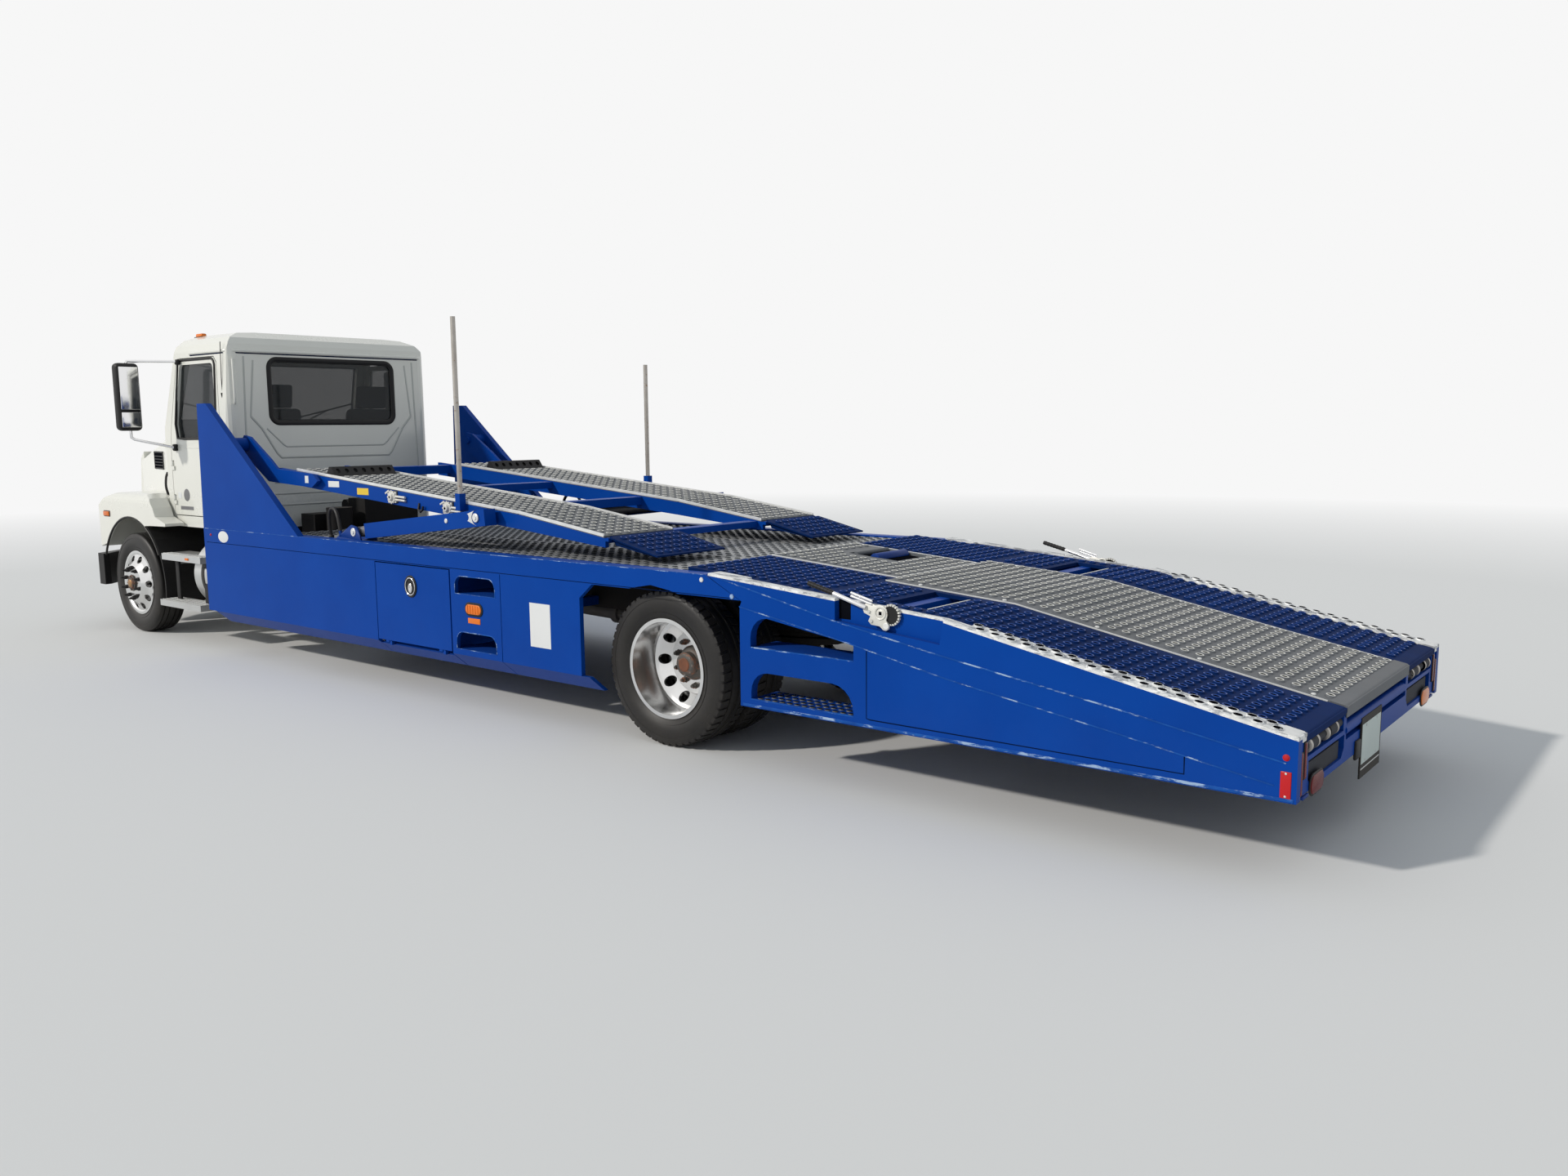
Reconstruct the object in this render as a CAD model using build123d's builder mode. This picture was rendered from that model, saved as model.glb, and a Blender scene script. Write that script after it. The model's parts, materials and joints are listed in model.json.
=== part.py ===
from build123d import *
import os
from math import cos, hypot, radians, sin

os.makedirs("parts", exist_ok=True)

# Millimetres. X forward, Y to the left, Z up, the ground at Z = 0.
# Every x below is a station: the distance ahead of the rear axle. The helpers move it
# to the part's own frame, whose origin is on the ground below the middle of the truck.

# Overall sizes
wheelbase = 6900
rear_overhang = 3585
front_overhang = 1030
body_width = 2590
half_width = body_width / 2
shift = (rear_overhang - wheelbase - front_overhang) / 2
front_axle_x = wheelbase
nose_x = wheelbase + front_overhang
tail_x = -rear_overhang
sides = (("left", 1), ("right", -1))

# Tyres and wheels
tyre_radius = 465
tyre_width = 255
twin_gap = 55
front_tyre_face = 1175
rear_tyre_face = 1200
rim_radius = 298.5
rim_seat = 285.5
rim_width = 209
seat_gap = 0.3
joint_gap = 0.3
hand_holes = 10
hand_hole_radius = 32
hub_radius = 84
front_wheel_y = front_tyre_face - tyre_width / 2
twin_half = (tyre_width + twin_gap) / 2
rear_wheel_y = rear_tyre_face - tyre_width / 2 - twin_half

# Ladder frame
frame_half = 432
frame_top = 880
frame_height = 260
frame_wall = 8
frame_flange = 75
frame_front_x = nose_x - 380
frame_rear_x = -1350

# Lower deck
deck_top = 1050
plate_thick = 20
beam_depth = 70
sill_width = 80
deck_front_x = wheelbase - 2650
deck_seam_x = -200
deck_bottom = deck_top - plate_thick
beam_bottom = deck_bottom - beam_depth

# Sloping rear deck: its top line from the seam, over the break, to the tail
seam_top = 1085
break_x = -1950
break_top = 945
tail_top = 625
tail_bottom = 360
hatch_half = 445
centre_half = 585
curb_width = 58
plank_width = 112
plank_front_x = -2070
plank_lift = 6
hatch_rear_x = -1130

# Side rails, fins and skirts
rail_top = 1062
rail_bottom = 938
rail_width = 100
fin_thick = 50
fin_front_x = wheelbase - 1620
fin_top = 2092
fin_top_x = wheelbase - 1796
fin_foot_x = wheelbase - 3115
rail_apex_x = -420
rail_tip_x = -674
panel_thick = 30
kink_z = 365
skirt_bottom = 262
skirt_tuck = 120
arch_front_x = 610
arch_rear_x = -673
panel_gaps = (2776, 1899, 1370)
panel_gap = 6

# Upper deck
track_inner = 450
track_outer = half_width - 230
upper_front_x = wheelbase - 2480
upper_front_top = 1580
knee_x = 1440
knee_top = 1318
upper_rear_x = 615
upper_rear_top = 1203
upper_beam_depth = 112
upper_beam_end = 58
upper_beam_wall = 30
upper_plate = 12
pivot_x = wheelbase - 2080
pivot_z = 1755
pivot_pin = 30
pivot_gap = 0.05
gusset_y = track_outer + 27
gusset_thick = 24

# Lifting struts: barrel eye on the rail bracket, rod eye at the pin on the upper deck
strut_foot = (3160, 1118)
strut_head = (1800, 1268)
strut_y = track_outer + 75
strut_radius = 40
strut_rod_radius = 24
strut_bore_gap = 0.3
strut_barrel_length = 900
sleeve_height = 110
sleeve_width = 100
sleeve_wall = 5
sleeve_start = 115
sleeve_rear = 165

# Flaps at the rear of the upper deck
flap_hinge_x = 600
flap_hinge_z = 1186
flap_pin = 10
flap_tube = 17
flap_front_x = 585
flap_tip_x = 172
flap_tip_z = 1107

# Cab
cab_back_x = wheelbase - 1585
cab_front_x = wheelbase - 400
cab_half = 1000
cab_roof = 2735
cab_floor = 1010
cab_wall = 45
door_rear_x = cab_back_x + 160
door_front_x = cab_front_x - 170
door_bottom = cab_floor + 105
door_top = cab_roof - 235
door_gap = 8
door_thick = 55
door_hinge_x = cab_front_x - 115
hinge_heights = (1250, 1560)
hinge_knuckle = 14
hinge_pin = 7
windscreen_base = (cab_front_x - 10, 1925)
windscreen_top = (cab_front_x - 215, cab_roof - 190)


def deck_line(x):
    """height of the rear deck's top at a station"""
    if x > break_x:
        return seam_top + (break_top - seam_top) * (deck_seam_x - x) / (deck_seam_x - break_x)
    return break_top + (tail_top - break_top) * (break_x - x) / (break_x - tail_x)


def upper_line(x):
    """height of the upper deck's top at a station"""
    if x > knee_x:
        return knee_top + (upper_front_top - knee_top) * (x - knee_x) / (upper_front_x - knee_x)
    return knee_top + (upper_rear_top - knee_top) * (knee_x - x) / (knee_x - upper_rear_x)


def band(line, stations, above, below):
    """outline between two heights measured from a line, through the given stations"""
    top = [(x, line(x) + above) for x in stations]
    bottom = [(x, line(x) + below) for x in reversed(stations)]
    return top + bottom


def corner(x, z, radius, start, end, steps=5):
    """points of a rounded corner about its centre, between two angles"""
    turn = [start + (end - start) * i / steps for i in range(steps + 1)]
    return [(x + radius * cos(radians(a)), z + radius * sin(radians(a))) for a in turn]


def slab_y(outline, y_a, y_b, mode=Mode.ADD):
    """plate with its outline in X and Z, between two Y"""
    moved = [(x + shift, z) for x, z in outline]
    with BuildSketch(Plane.XZ.offset(-max(y_a, y_b))) as face:
        with BuildLine():
            Polyline(*moved, close=True)
        make_face()
    extrude(face.sketch, amount=abs(y_b - y_a), mode=mode)


def slab_x(outline, x_a, x_b, mode=Mode.ADD):
    """bar with its outline in Y and Z, between two stations"""
    with BuildSketch(Plane.YZ.offset(min(x_a, x_b) + shift)) as face:
        with BuildLine():
            Polyline(*outline, close=True)
        make_face()
    extrude(face.sketch, amount=abs(x_b - x_a), mode=mode)


def slab_z(outline, z_a, z_b, mode=Mode.ADD):
    """plate with its outline in X and Y, between two heights"""
    moved = [(x + shift, y) for x, y in outline]
    with BuildSketch(Plane.XY.offset(min(z_a, z_b))) as face:
        with BuildLine():
            Polyline(*moved, close=True)
        make_face()
    extrude(face.sketch, amount=abs(z_b - z_a), mode=mode)


def block(xs, ys, zs, mode=Mode.ADD):
    """box between two stations, two Y and two heights"""
    with Locations(((xs[0] + xs[1]) / 2 + shift, (ys[0] + ys[1]) / 2, (zs[0] + zs[1]) / 2)):
        Box(abs(xs[1] - xs[0]), abs(ys[1] - ys[0]), abs(zs[1] - zs[0]), mode=mode)


def bar(start, end, radius, mode=Mode.ADD):
    """round bar between two points"""
    foot = Vector(start[0] + shift, start[1], start[2])
    head = Vector(end[0] + shift, end[1], end[2])
    with BuildSketch(Plane(origin=foot, z_dir=head - foot)) as face:
        Circle(radius)
    extrude(face.sketch, amount=(head - foot).length, mode=mode)


def turned(outline, x, y, s, mode=Mode.ADD):
    """solid turned about a wheel's axis; the outline gives distance outwards and radius"""
    centre = (x + shift, y * s, tyre_radius)
    plane = Plane(origin=centre, x_dir=(0, s, 0), z_dir=(s, 0, 0))
    with BuildSketch(plane) as face:
        with BuildLine():
            Polyline(*outline, close=True)
        make_face()
    revolve(face.sketch, axis=Axis(centre, (0, 1, 0)), mode=mode)


def hand_hole_ring(x, y, s, pitch, out_a, out_b):
    """ring of round hand holes through a wheel's disc"""
    start = min(y * s + out_a * s, y * s + out_b * s)
    plane = Plane(origin=(x + shift, start, tyre_radius), x_dir=(1, 0, 0), z_dir=(0, 1, 0))
    with BuildSketch(plane) as face:
        with PolarLocations(pitch, hand_holes):
            Circle(hand_hole_radius)
    extrude(face.sketch, amount=abs(out_b - out_a), mode=Mode.SUBTRACT)


def save(piece, name):
    """labels a finished piece and writes it under its name"""
    piece.part.label = name
    export_step(piece.part, f"parts/{name}.step")


# Tyre outline: distance from its middle and radius, one half, bead to tread
half_tread = tyre_width / 2 - 30
half_bead = rim_width / 2 - 1
tyre_side = (
    (half_bead, rim_seat + seat_gap),
    (half_bead, rim_radius + 2),
    (tyre_width / 2, rim_radius + 52),
    (tyre_width / 2 - 12, tyre_radius - 20),
    (half_tread, tyre_radius),
)
tyre_outline = [(a, r) for a, r in tyre_side] + [(-a, r) for a, r in reversed(tyre_side)]

for side, s in sides:
    with BuildPart() as tyre_front:
        turned(tyre_outline, front_axle_x, front_wheel_y, s)
    save(tyre_front, f"tyre_front_{side}")

    with BuildPart() as tyres_rear:
        for offset_out in (-twin_half, twin_half):
            turned(tyre_outline, 0, rear_wheel_y + offset_out, s)
    save(tyres_rear, f"tyres_rear_{side}")

# Rim barrel shared by all wheels: distance from the tyre's middle and radius
lip = rim_width / 2 + 9
barrel_wall = 9
shoulder = rim_width / 2
barrel_inner = rim_seat - barrel_wall

# Front wheel: disc crowned outwards, hub through its middle, drum behind
disc_out = 168
disc_thick = 20
hub_face = 178
drum_radius = 207
drum_wall = 12
drum_in = -85
drum_out = 60
hub_in = -20

for side, s in sides:
    with BuildPart() as wheel_front:
        turned([(-lip, rim_radius), (-shoulder, rim_radius), (-shoulder, rim_seat), (shoulder, rim_seat),
                (shoulder, rim_radius), (lip, rim_radius), (lip, barrel_inner), (shoulder, 262),
                (shoulder + 18, 215), (disc_out, 165), (disc_out, hub_radius - 4),
                (disc_out - disc_thick, hub_radius - 4), (disc_out - disc_thick, 160),
                (shoulder - 2, 204), (shoulder - 28, 255), (shoulder - 28, barrel_inner),
                (-lip, barrel_inner)], front_axle_x, front_wheel_y, s)
        hand_hole_ring(front_axle_x, front_wheel_y, s, 226, drum_out + 5, disc_out)
        turned([(hub_in, 0), (hub_in, hub_radius - 14), (hub_face, hub_radius - 14), (hub_face, 52),
                (hub_face + 12, 48), (hub_face + 12, 0)], front_axle_x, front_wheel_y, s)
        turned([(drum_in, drum_radius), (drum_out, drum_radius), (drum_out, hub_radius - 20),
                (drum_out - drum_wall, hub_radius - 20), (drum_out - drum_wall, drum_radius - drum_wall),
                (drum_in, drum_radius - drum_wall)], front_axle_x, front_wheel_y, s)
        turned([(disc_out - disc_thick, hub_radius), (disc_out - disc_thick, hub_radius - 20),
                (drum_out, hub_radius - 20), (drum_out, hub_radius)], front_axle_x, front_wheel_y, s)
    save(wheel_front, f"wheel_front_{side}")

# Rear twin wheels: both discs dished to the middle, bolted face to face on one hub
dish_face = 14
twin_drum_in = -262
axle_end_out = 112

for side, s in sides:
    with BuildPart() as wheels_rear:
        for t in (-1, 1):
            mid = twin_half * t
            turned([(mid - t * lip, rim_radius), (mid - t * shoulder, rim_radius), (mid - t * shoulder, rim_seat),
                    (mid + t * shoulder, rim_seat), (mid + t * shoulder, rim_radius), (mid + t * lip, rim_radius),
                    (mid + t * lip, barrel_inner), (t * 76, barrel_inner), (t * 68, 256), (t * dish_face, 192),
                    (t * dish_face, hub_radius - 4), (0, hub_radius - 4), (0, 205), (t * 52, 262),
                    (t * 58, barrel_inner), (mid - t * lip, barrel_inner)], 0, rear_wheel_y, s)
        hand_hole_ring(0, rear_wheel_y, s, 226, -80, 80)
        turned([(twin_drum_in, 0), (twin_drum_in, drum_radius), (-45, drum_radius), (-45, hub_radius + 20),
                (dish_face + 20, hub_radius + 20), (dish_face + 40, hub_radius + 8), (dish_face + 52, hub_radius - 12),
                (axle_end_out - 12, hub_radius - 14), (axle_end_out, hub_radius - 30), (axle_end_out, 0)],
               0, rear_wheel_y, s)
    save(wheels_rear, f"wheels_rear_{side}")

# Front axle: forged beam with a boss for each king pin, and its leaf springs
kingpin_y = 880
boss_radius = 45
boss_low = 335
boss_high = 495
spring_y = 395
spring_width = 76
spring_half = 640
frame_low = frame_top - frame_height
beam_half = 55

with BuildPart() as front_axle:
    slab_x([(-kingpin_y, boss_high - 25), (-kingpin_y, boss_low + 35), (-620, 300), (620, 300),
            (kingpin_y, boss_low + 35), (kingpin_y, boss_high - 25), (600, 400), (-600, 400)],
           front_axle_x - beam_half, front_axle_x + beam_half)
    for s in (-1, 1):
        bar((front_axle_x, s * kingpin_y, boss_low), (front_axle_x, s * kingpin_y, boss_high), boss_radius)
        y_range = (s * (spring_y - spring_width / 2), s * (spring_y + spring_width / 2))
        slab_y([(front_axle_x - spring_half, 560), (front_axle_x - 300, 450), (front_axle_x, 415),
                (front_axle_x + 300, 450), (front_axle_x + spring_half, 560), (front_axle_x + spring_half, 590),
                (front_axle_x + 300, 490), (front_axle_x, 470), (front_axle_x - 300, 490),
                (front_axle_x - spring_half, 590)], *y_range)
        block((front_axle_x - 60, front_axle_x + 60), y_range, (395, 420))
        for end in (-1, 1):
            x = front_axle_x + end * (spring_half - 20)
            block((x - 20, x + 20), y_range, (570, frame_low))
save(front_axle, "front_axle")

# Knuckles: a fork over each boss, the stub for the hub and the arm for the track rod
ear_thick = 32
ear_gap = 5.5
arm_x = -200
arm_y = kingpin_y
arm_pin = 12
rod_z = 268

for side, s in sides:
    with BuildPart() as knuckle:
        for low in (boss_low - ear_gap - ear_thick, boss_high + ear_gap):
            block((front_axle_x - 50, front_axle_x + 50), (s * (kingpin_y - 45), s * (kingpin_y + 85)),
                  (low, low + ear_thick))
        block((front_axle_x - 50, front_axle_x + 50), (s * (kingpin_y + boss_radius + 7), s * (kingpin_y + 85)),
              (boss_low - ear_gap - ear_thick, boss_high + ear_gap + ear_thick))
        bar((front_axle_x, s * (kingpin_y + 80), tyre_radius),
            (front_axle_x, s * (front_wheel_y + hub_in - seat_gap), tyre_radius), 45)
        slab_z([(front_axle_x - 20, s * (kingpin_y - 40)), (front_axle_x - 20, s * (kingpin_y + 40)),
                (front_axle_x + arm_x - 26, s * (arm_y + 26)), (front_axle_x + arm_x - 26, s * (arm_y - 26))],
               boss_low - ear_gap - ear_thick, boss_low - ear_gap)
        bar((front_axle_x + arm_x, s * arm_y, rod_z - 16),
            (front_axle_x + arm_x, s * arm_y, boss_low - ear_gap - ear_thick), arm_pin)
        for start, end in ((boss_low - ear_gap, boss_low - seat_gap), (boss_high + seat_gap, boss_high + ear_gap)):
            bar((front_axle_x, s * kingpin_y, start), (front_axle_x, s * kingpin_y, end), 25)
    save(knuckle, f"knuckle_{side}")

with BuildPart() as track_rod:
    bar((front_axle_x + arm_x, -arm_y + 22, rod_z), (front_axle_x + arm_x, arm_y - 22, rod_z), 15)
    for s in (-1, 1):
        bar((front_axle_x + arm_x, s * arm_y, rod_z - 14), (front_axle_x + arm_x, s * arm_y, rod_z + 14), 28)
        bar((front_axle_x + arm_x, s * arm_y, rod_z - 15), (front_axle_x + arm_x, s * arm_y, rod_z + 15),
            arm_pin + 0.08, mode=Mode.SUBTRACT)
save(track_rod, "track_rod")

# Rear axle: banjo housing, tubes to the drums, leaf springs and their hangers
rear_spring_half = 700

with BuildPart() as rear_axle:
    tube_end = rear_wheel_y + twin_drum_in - seat_gap
    bar((0, -tube_end, tyre_radius), (0, tube_end, tyre_radius), 64)
    with Locations((shift, 0, tyre_radius)):
        Sphere(190)
    bar((0, 0, tyre_radius), (330, 0, tyre_radius), 95)
    for s in (-1, 1):
        y_range = (s * (spring_y - spring_width / 2), s * (spring_y + spring_width / 2))
        slab_y([(-rear_spring_half, 575), (-330, 520), (0, 500), (330, 520), (rear_spring_half, 575),
                (rear_spring_half, 605), (330, 575), (0, 570), (-330, 575), (-rear_spring_half, 605)], *y_range)
        block((-65, 65), y_range, (470, 510))
        for end in (-1, 1):
            x = end * (rear_spring_half - 20)
            block((x - 20, x + 20), y_range, (590, frame_low))
save(rear_axle, "rear_axle")

# Engine as a plain block on its mounts, with the gearbox and the propeller shaft behind it
engine_front_x = front_axle_x + 450
engine_rear_x = front_axle_x - 380
gearbox_rear_x = front_axle_x - 1150
web_inner = frame_half - frame_wall

with BuildPart() as engine_and_shaft:
    block((engine_rear_x, engine_front_x), (-300, 300), (520, 1330))
    slab_x([(-150, 520), (150, 520), (190, 700), (120, 850), (-120, 850), (-190, 700)],
           gearbox_rear_x, engine_rear_x - joint_gap)
    for x in (gearbox_rear_x + 150, engine_front_x - 350):
        block((x - 40, x + 40), (-web_inner, web_inner), (680, 740))
    bar((330 + seat_gap, 0, tyre_radius), (365, 0, tyre_radius), 62)
    bar((350, 0, tyre_radius), (gearbox_rear_x - 12, 0, 620), 52)
    bar((gearbox_rear_x - 30, 0, 620), (gearbox_rear_x - joint_gap, 0, 620), 80)
    for x, z in ((1600, 501), (3600, 558)):
        bar((x, 0, z), (x + 60, 0, z), 75)
save(engine_and_shaft, "engine_and_shaft")

# Ladder frame: two channels and their crossmembers
cross_stations = (-1250, -760, 760, 1700, 2650, 3600, front_axle_x - 2350, front_axle_x - 1450, front_axle_x + 520)

with BuildPart() as ladder_frame:
    for s in (-1, 1):
        low = frame_top - frame_height
        slab_x([(s * frame_half, low), (s * frame_half, frame_top), (s * (frame_half - frame_flange), frame_top),
                (s * (frame_half - frame_flange), frame_top - frame_wall), (s * (frame_half - frame_wall), frame_top - frame_wall),
                (s * (frame_half - frame_wall), low + frame_wall), (s * (frame_half - frame_flange), low + frame_wall),
                (s * (frame_half - frame_flange), low)], frame_rear_x, frame_front_x)
    for x in cross_stations:
        block((x - 35, x + 35), (-web_inner + joint_gap, web_inner - joint_gap),
              (frame_top - 210, frame_top - frame_wall - 20))
    # cab mounts
    for x in (cab_back_x + 105, cab_front_x - 200):
        for s in (-1, 1):
            block((x - 50, x + 50), (s * 350, s * 430), (frame_top + joint_gap, cab_floor))
    # hydraulic tank, pump and valve block behind the cab
    for s in (-1, 1):
        block((cab_back_x - 560, cab_back_x - 80), (s * 300, s * 420), (frame_top + joint_gap, frame_top + 50))
    block((cab_back_x - 580, cab_back_x - 320), (-430, 110), (frame_top + 50 + joint_gap, 1260))
    block((cab_back_x - 290, cab_back_x - 70), (-430, 430), (frame_top + 50 + joint_gap, 1130))
    bar((cab_back_x - 180, -390, 1185), (cab_back_x - 180, 60, 1185), 54.5)
    bar((cab_back_x - 460, 290, frame_top + 50 + joint_gap), (cab_back_x - 460, 290, 1190), 110)
    block((cab_back_x - 580, cab_back_x - 340), (170, 420), (frame_top + 50 + joint_gap, frame_top + 90))
save(ladder_frame, "ladder_frame")

# Deck frame: sills on the ladder frame and beams across to the side rails
beam_count = 8
beam_pitch = (deck_front_x - 120 - deck_seam_x - 60) / (beam_count - 1)
beam_stations = [deck_seam_x + 60 + i * beam_pitch for i in range(beam_count)]
sill_rear_x = -640

with BuildPart() as deck_frame:
    for s in (-1, 1):
        block((sill_rear_x, deck_front_x), (s * (frame_half - sill_width), s * frame_half),
              (frame_top, beam_bottom - joint_gap))
    for x in beam_stations:
        block((x - 40, x + 40), (-half_width + rail_width, half_width - rail_width), (beam_bottom, deck_bottom))
save(deck_frame, "deck_frame")

# Lower deck plates: two wheel tracks and the middle
track_edge = 452

with BuildPart() as lower_deck:
    edge = half_width - rail_width
    for y_a, y_b in ((-edge, -track_edge), (-track_edge + 8, track_edge - 8), (track_edge, edge)):
        block((deck_seam_x + 10, deck_front_x), (y_a, y_b), (deck_bottom, deck_top))
save(lower_deck, "lower_deck")

# Tail frame: long beams, cross beams under the plates and the rear panel
plate_under = -25
tail_beam_y = (470, 545)
tail_wall = 60
tail_inner = half_width - fin_thick
tail_beam_stations = (-720, -1090, -1560, -2050, -2500, -2950)
tail_face = tail_x + 8
rail_inner = half_width - rail_width

tail_spans = ((-tail_inner, -tail_beam_y[1] - joint_gap), (-tail_beam_y[0] + joint_gap, tail_beam_y[0] - joint_gap),
              (tail_beam_y[1] + joint_gap, tail_inner))
pocket_y = (585, 1120)
pocket_z = (400, 500)
shaft_slot_z = (520, 590)
shaft_z = 556
tail_tube_z = 512
tail_tube_radius = 28
tail_tube_x = tail_x + tail_wall - tail_tube_radius - 1

with BuildPart() as tail_frame:
    for s in (-1, 1):
        slab_y([(-560, deck_line(-560) + plate_under), (break_x, deck_line(break_x) + plate_under),
                (tail_x + tail_wall, deck_line(tail_x + tail_wall) + plate_under),
                (tail_x + tail_wall + joint_gap, tail_bottom + 40),
                (frame_rear_x, frame_top - frame_height), (-560, frame_top - 60)],
               s * tail_beam_y[0], s * tail_beam_y[1])
    for x in tail_beam_stations:
        for y_a, y_b in tail_spans:
            slab_y(band(deck_line, (x + 30, x - 30), plate_under, plate_under - beam_depth), y_a, y_b)
    block((frame_rear_x - 62, frame_rear_x - seat_gap), (-tail_beam_y[0] + joint_gap, tail_beam_y[0] - joint_gap),
          (frame_top - 210, frame_top - 30))
    for s in (-1, 1):
        block((-920, -820), (s * (frame_half + seat_gap), s * (tail_beam_y[0] - joint_gap)), (690, 850))
    block((-290, -230), (-rail_inner + 5, rail_inner - 5), (beam_bottom, deck_line(-290) + plate_under))
    # rear panel with the ramp pockets, the slots of the shafts and the long opening of the tube
    slab_y([(tail_face, tail_top + plate_under - 4),
            (tail_x + tail_wall - joint_gap, deck_line(tail_x + tail_wall - joint_gap) + plate_under),
            (tail_x + tail_wall - joint_gap, tail_bottom + 10), (tail_face, tail_bottom + 10)],
           -tail_inner, tail_inner)
    for s in (-1, 1):
        slab_x([(s * pocket_y[0], pocket_z[0] + 40), (s * (pocket_y[0] + 40), pocket_z[0]),
                (s * (pocket_y[1] - 20), pocket_z[0]), (s * pocket_y[1], pocket_z[0] + 20),
                (s * pocket_y[1], pocket_z[1]), (s * pocket_y[0], pocket_z[1])],
               tail_x - 5, tail_x + tail_wall + 5, mode=Mode.SUBTRACT)
        block((tail_x - 5, tail_x + tail_wall + 5), (s * (pocket_y[0] + 20), s * (pocket_y[1] + 20)), shaft_slot_z,
              mode=Mode.SUBTRACT)
    block((tail_x - 5, tail_x + tail_wall + 5), (-560, 560), (470, 570), mode=Mode.SUBTRACT)
    bar((tail_tube_x, -560, tail_tube_z), (tail_tube_x, 560, tail_tube_z), tail_tube_radius)
    # bracket and the blank plate
    block((tail_x + 6, tail_x + 14), (110, 170), (tail_bottom - 60, 470))
    block((tail_x, tail_x + 6), (-40, 320), (235, 520))
save(tail_frame, "tail_frame")

# Stowed loading ramps, one in each pocket, and the rollers they slide over
ramp_length = 1750

with BuildPart() as stowed_ramps:
    for s in (-1, 1):
        block((tail_x + 20, tail_x + ramp_length), (s * 630, s * 1090), (400.5, 480))
        block((tail_x + 80, tail_x + ramp_length - 60), (s * 660, s * 1060), (435, 481), mode=Mode.SUBTRACT)
        for i in range(7):
            x = tail_x + 200 + i * 220
            block((x, x + 40), (s * 650, s * 1070), (440, 480))
        bar((tail_x + 34, s * (pocket_y[0] + 20), shaft_z), (tail_x + 34, s * (pocket_y[1] + 20), shaft_z), 22)
        for y in (700, 980):
            bar((tail_x + 34, s * y, shaft_z), (tail_x + 34, s * (y + 110), shaft_z), 32)
save(stowed_ramps, "stowed_ramps")

# Rear deck: galvanised middle plates, painted wheel strips and the curbs
winch_x = -1590
winch_z = 950
recess_x = (-1950, -1311)
recess_depth = 34
plate_gap = 8
strip_edge = half_width - curb_width
hole_x = (-1740, -1500)
hole_y = (640, 1090)
hatch_recess_x = (-800, -430)
hatch_recess_y = (-400, -50)

with BuildPart() as middle_plates:
    slab_y(band(deck_line, (deck_seam_x, hatch_rear_x), 0, plate_under), -hatch_half, hatch_half)
    slab_y(band(deck_line, hatch_recess_x, 5, -15), *hatch_recess_y, mode=Mode.SUBTRACT)
    bar((hatch_recess_x[1] - 55, hatch_recess_y[0], deck_line(hatch_recess_x[1] - 55) - 2),
        (hatch_recess_x[1] - 55, hatch_recess_y[1], deck_line(hatch_recess_x[1] - 55) - 2), 16)
    slab_y(band(deck_line, (hatch_rear_x - plate_gap, break_x, tail_x), 0, plate_under), -centre_half, centre_half)
save(middle_plates, "middle_plates")

with BuildPart() as wheel_strips:
    for s in (-1, 1):
        slab_y(band(deck_line, (deck_seam_x, rail_tip_x - 6), -4, plate_under),
               s * (hatch_half + plate_gap), s * (rail_inner - 5))
        slab_y(band(deck_line, (rail_tip_x - 6, hatch_rear_x), -4, plate_under),
               s * (hatch_half + plate_gap), s * strip_edge)
        slab_y(band(deck_line, (hatch_rear_x, break_x, plank_front_x), -4, plate_under),
               s * (centre_half + plate_gap), s * strip_edge)
        slab_y(band(deck_line, (plank_front_x, tail_x), -4, plate_under),
               s * (centre_half + plate_gap), s * (half_width - plank_width))
        block(hole_x, (s * hole_y[0], s * hole_y[1]), (deck_line(hole_x[0]) - 80, deck_line(hole_x[1]) + 20),
              mode=Mode.SUBTRACT)
save(wheel_strips, "wheel_strips")

curb_front_x = rail_apex_x - 25

with BuildPart() as curbs:
    for s in (-1, 1):
        slab_y(band(deck_line, (curb_front_x, break_x, plank_front_x), plank_lift, -8), s * strip_edge, s * half_width)
        slab_y(band(deck_line, (plank_front_x, tail_x), plank_lift, -8), s * (half_width - plank_width), s * half_width)
        slab_y(band(deck_line, (curb_front_x, rail_tip_x), plank_lift, -8), s * (rail_inner - 4), s * (strip_edge + 5))
        block(recess_x, (s * (half_width - recess_depth), s * (half_width + 5)), (880, 1100), mode=Mode.SUBTRACT)
save(curbs, "curbs")

# Sides
step_round = 70
locker_hinges = (1990, 2620)
locker_hinge_y = half_width - 12
locker_hinge_z = kink_z + 6
locker_pin = 5

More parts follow.
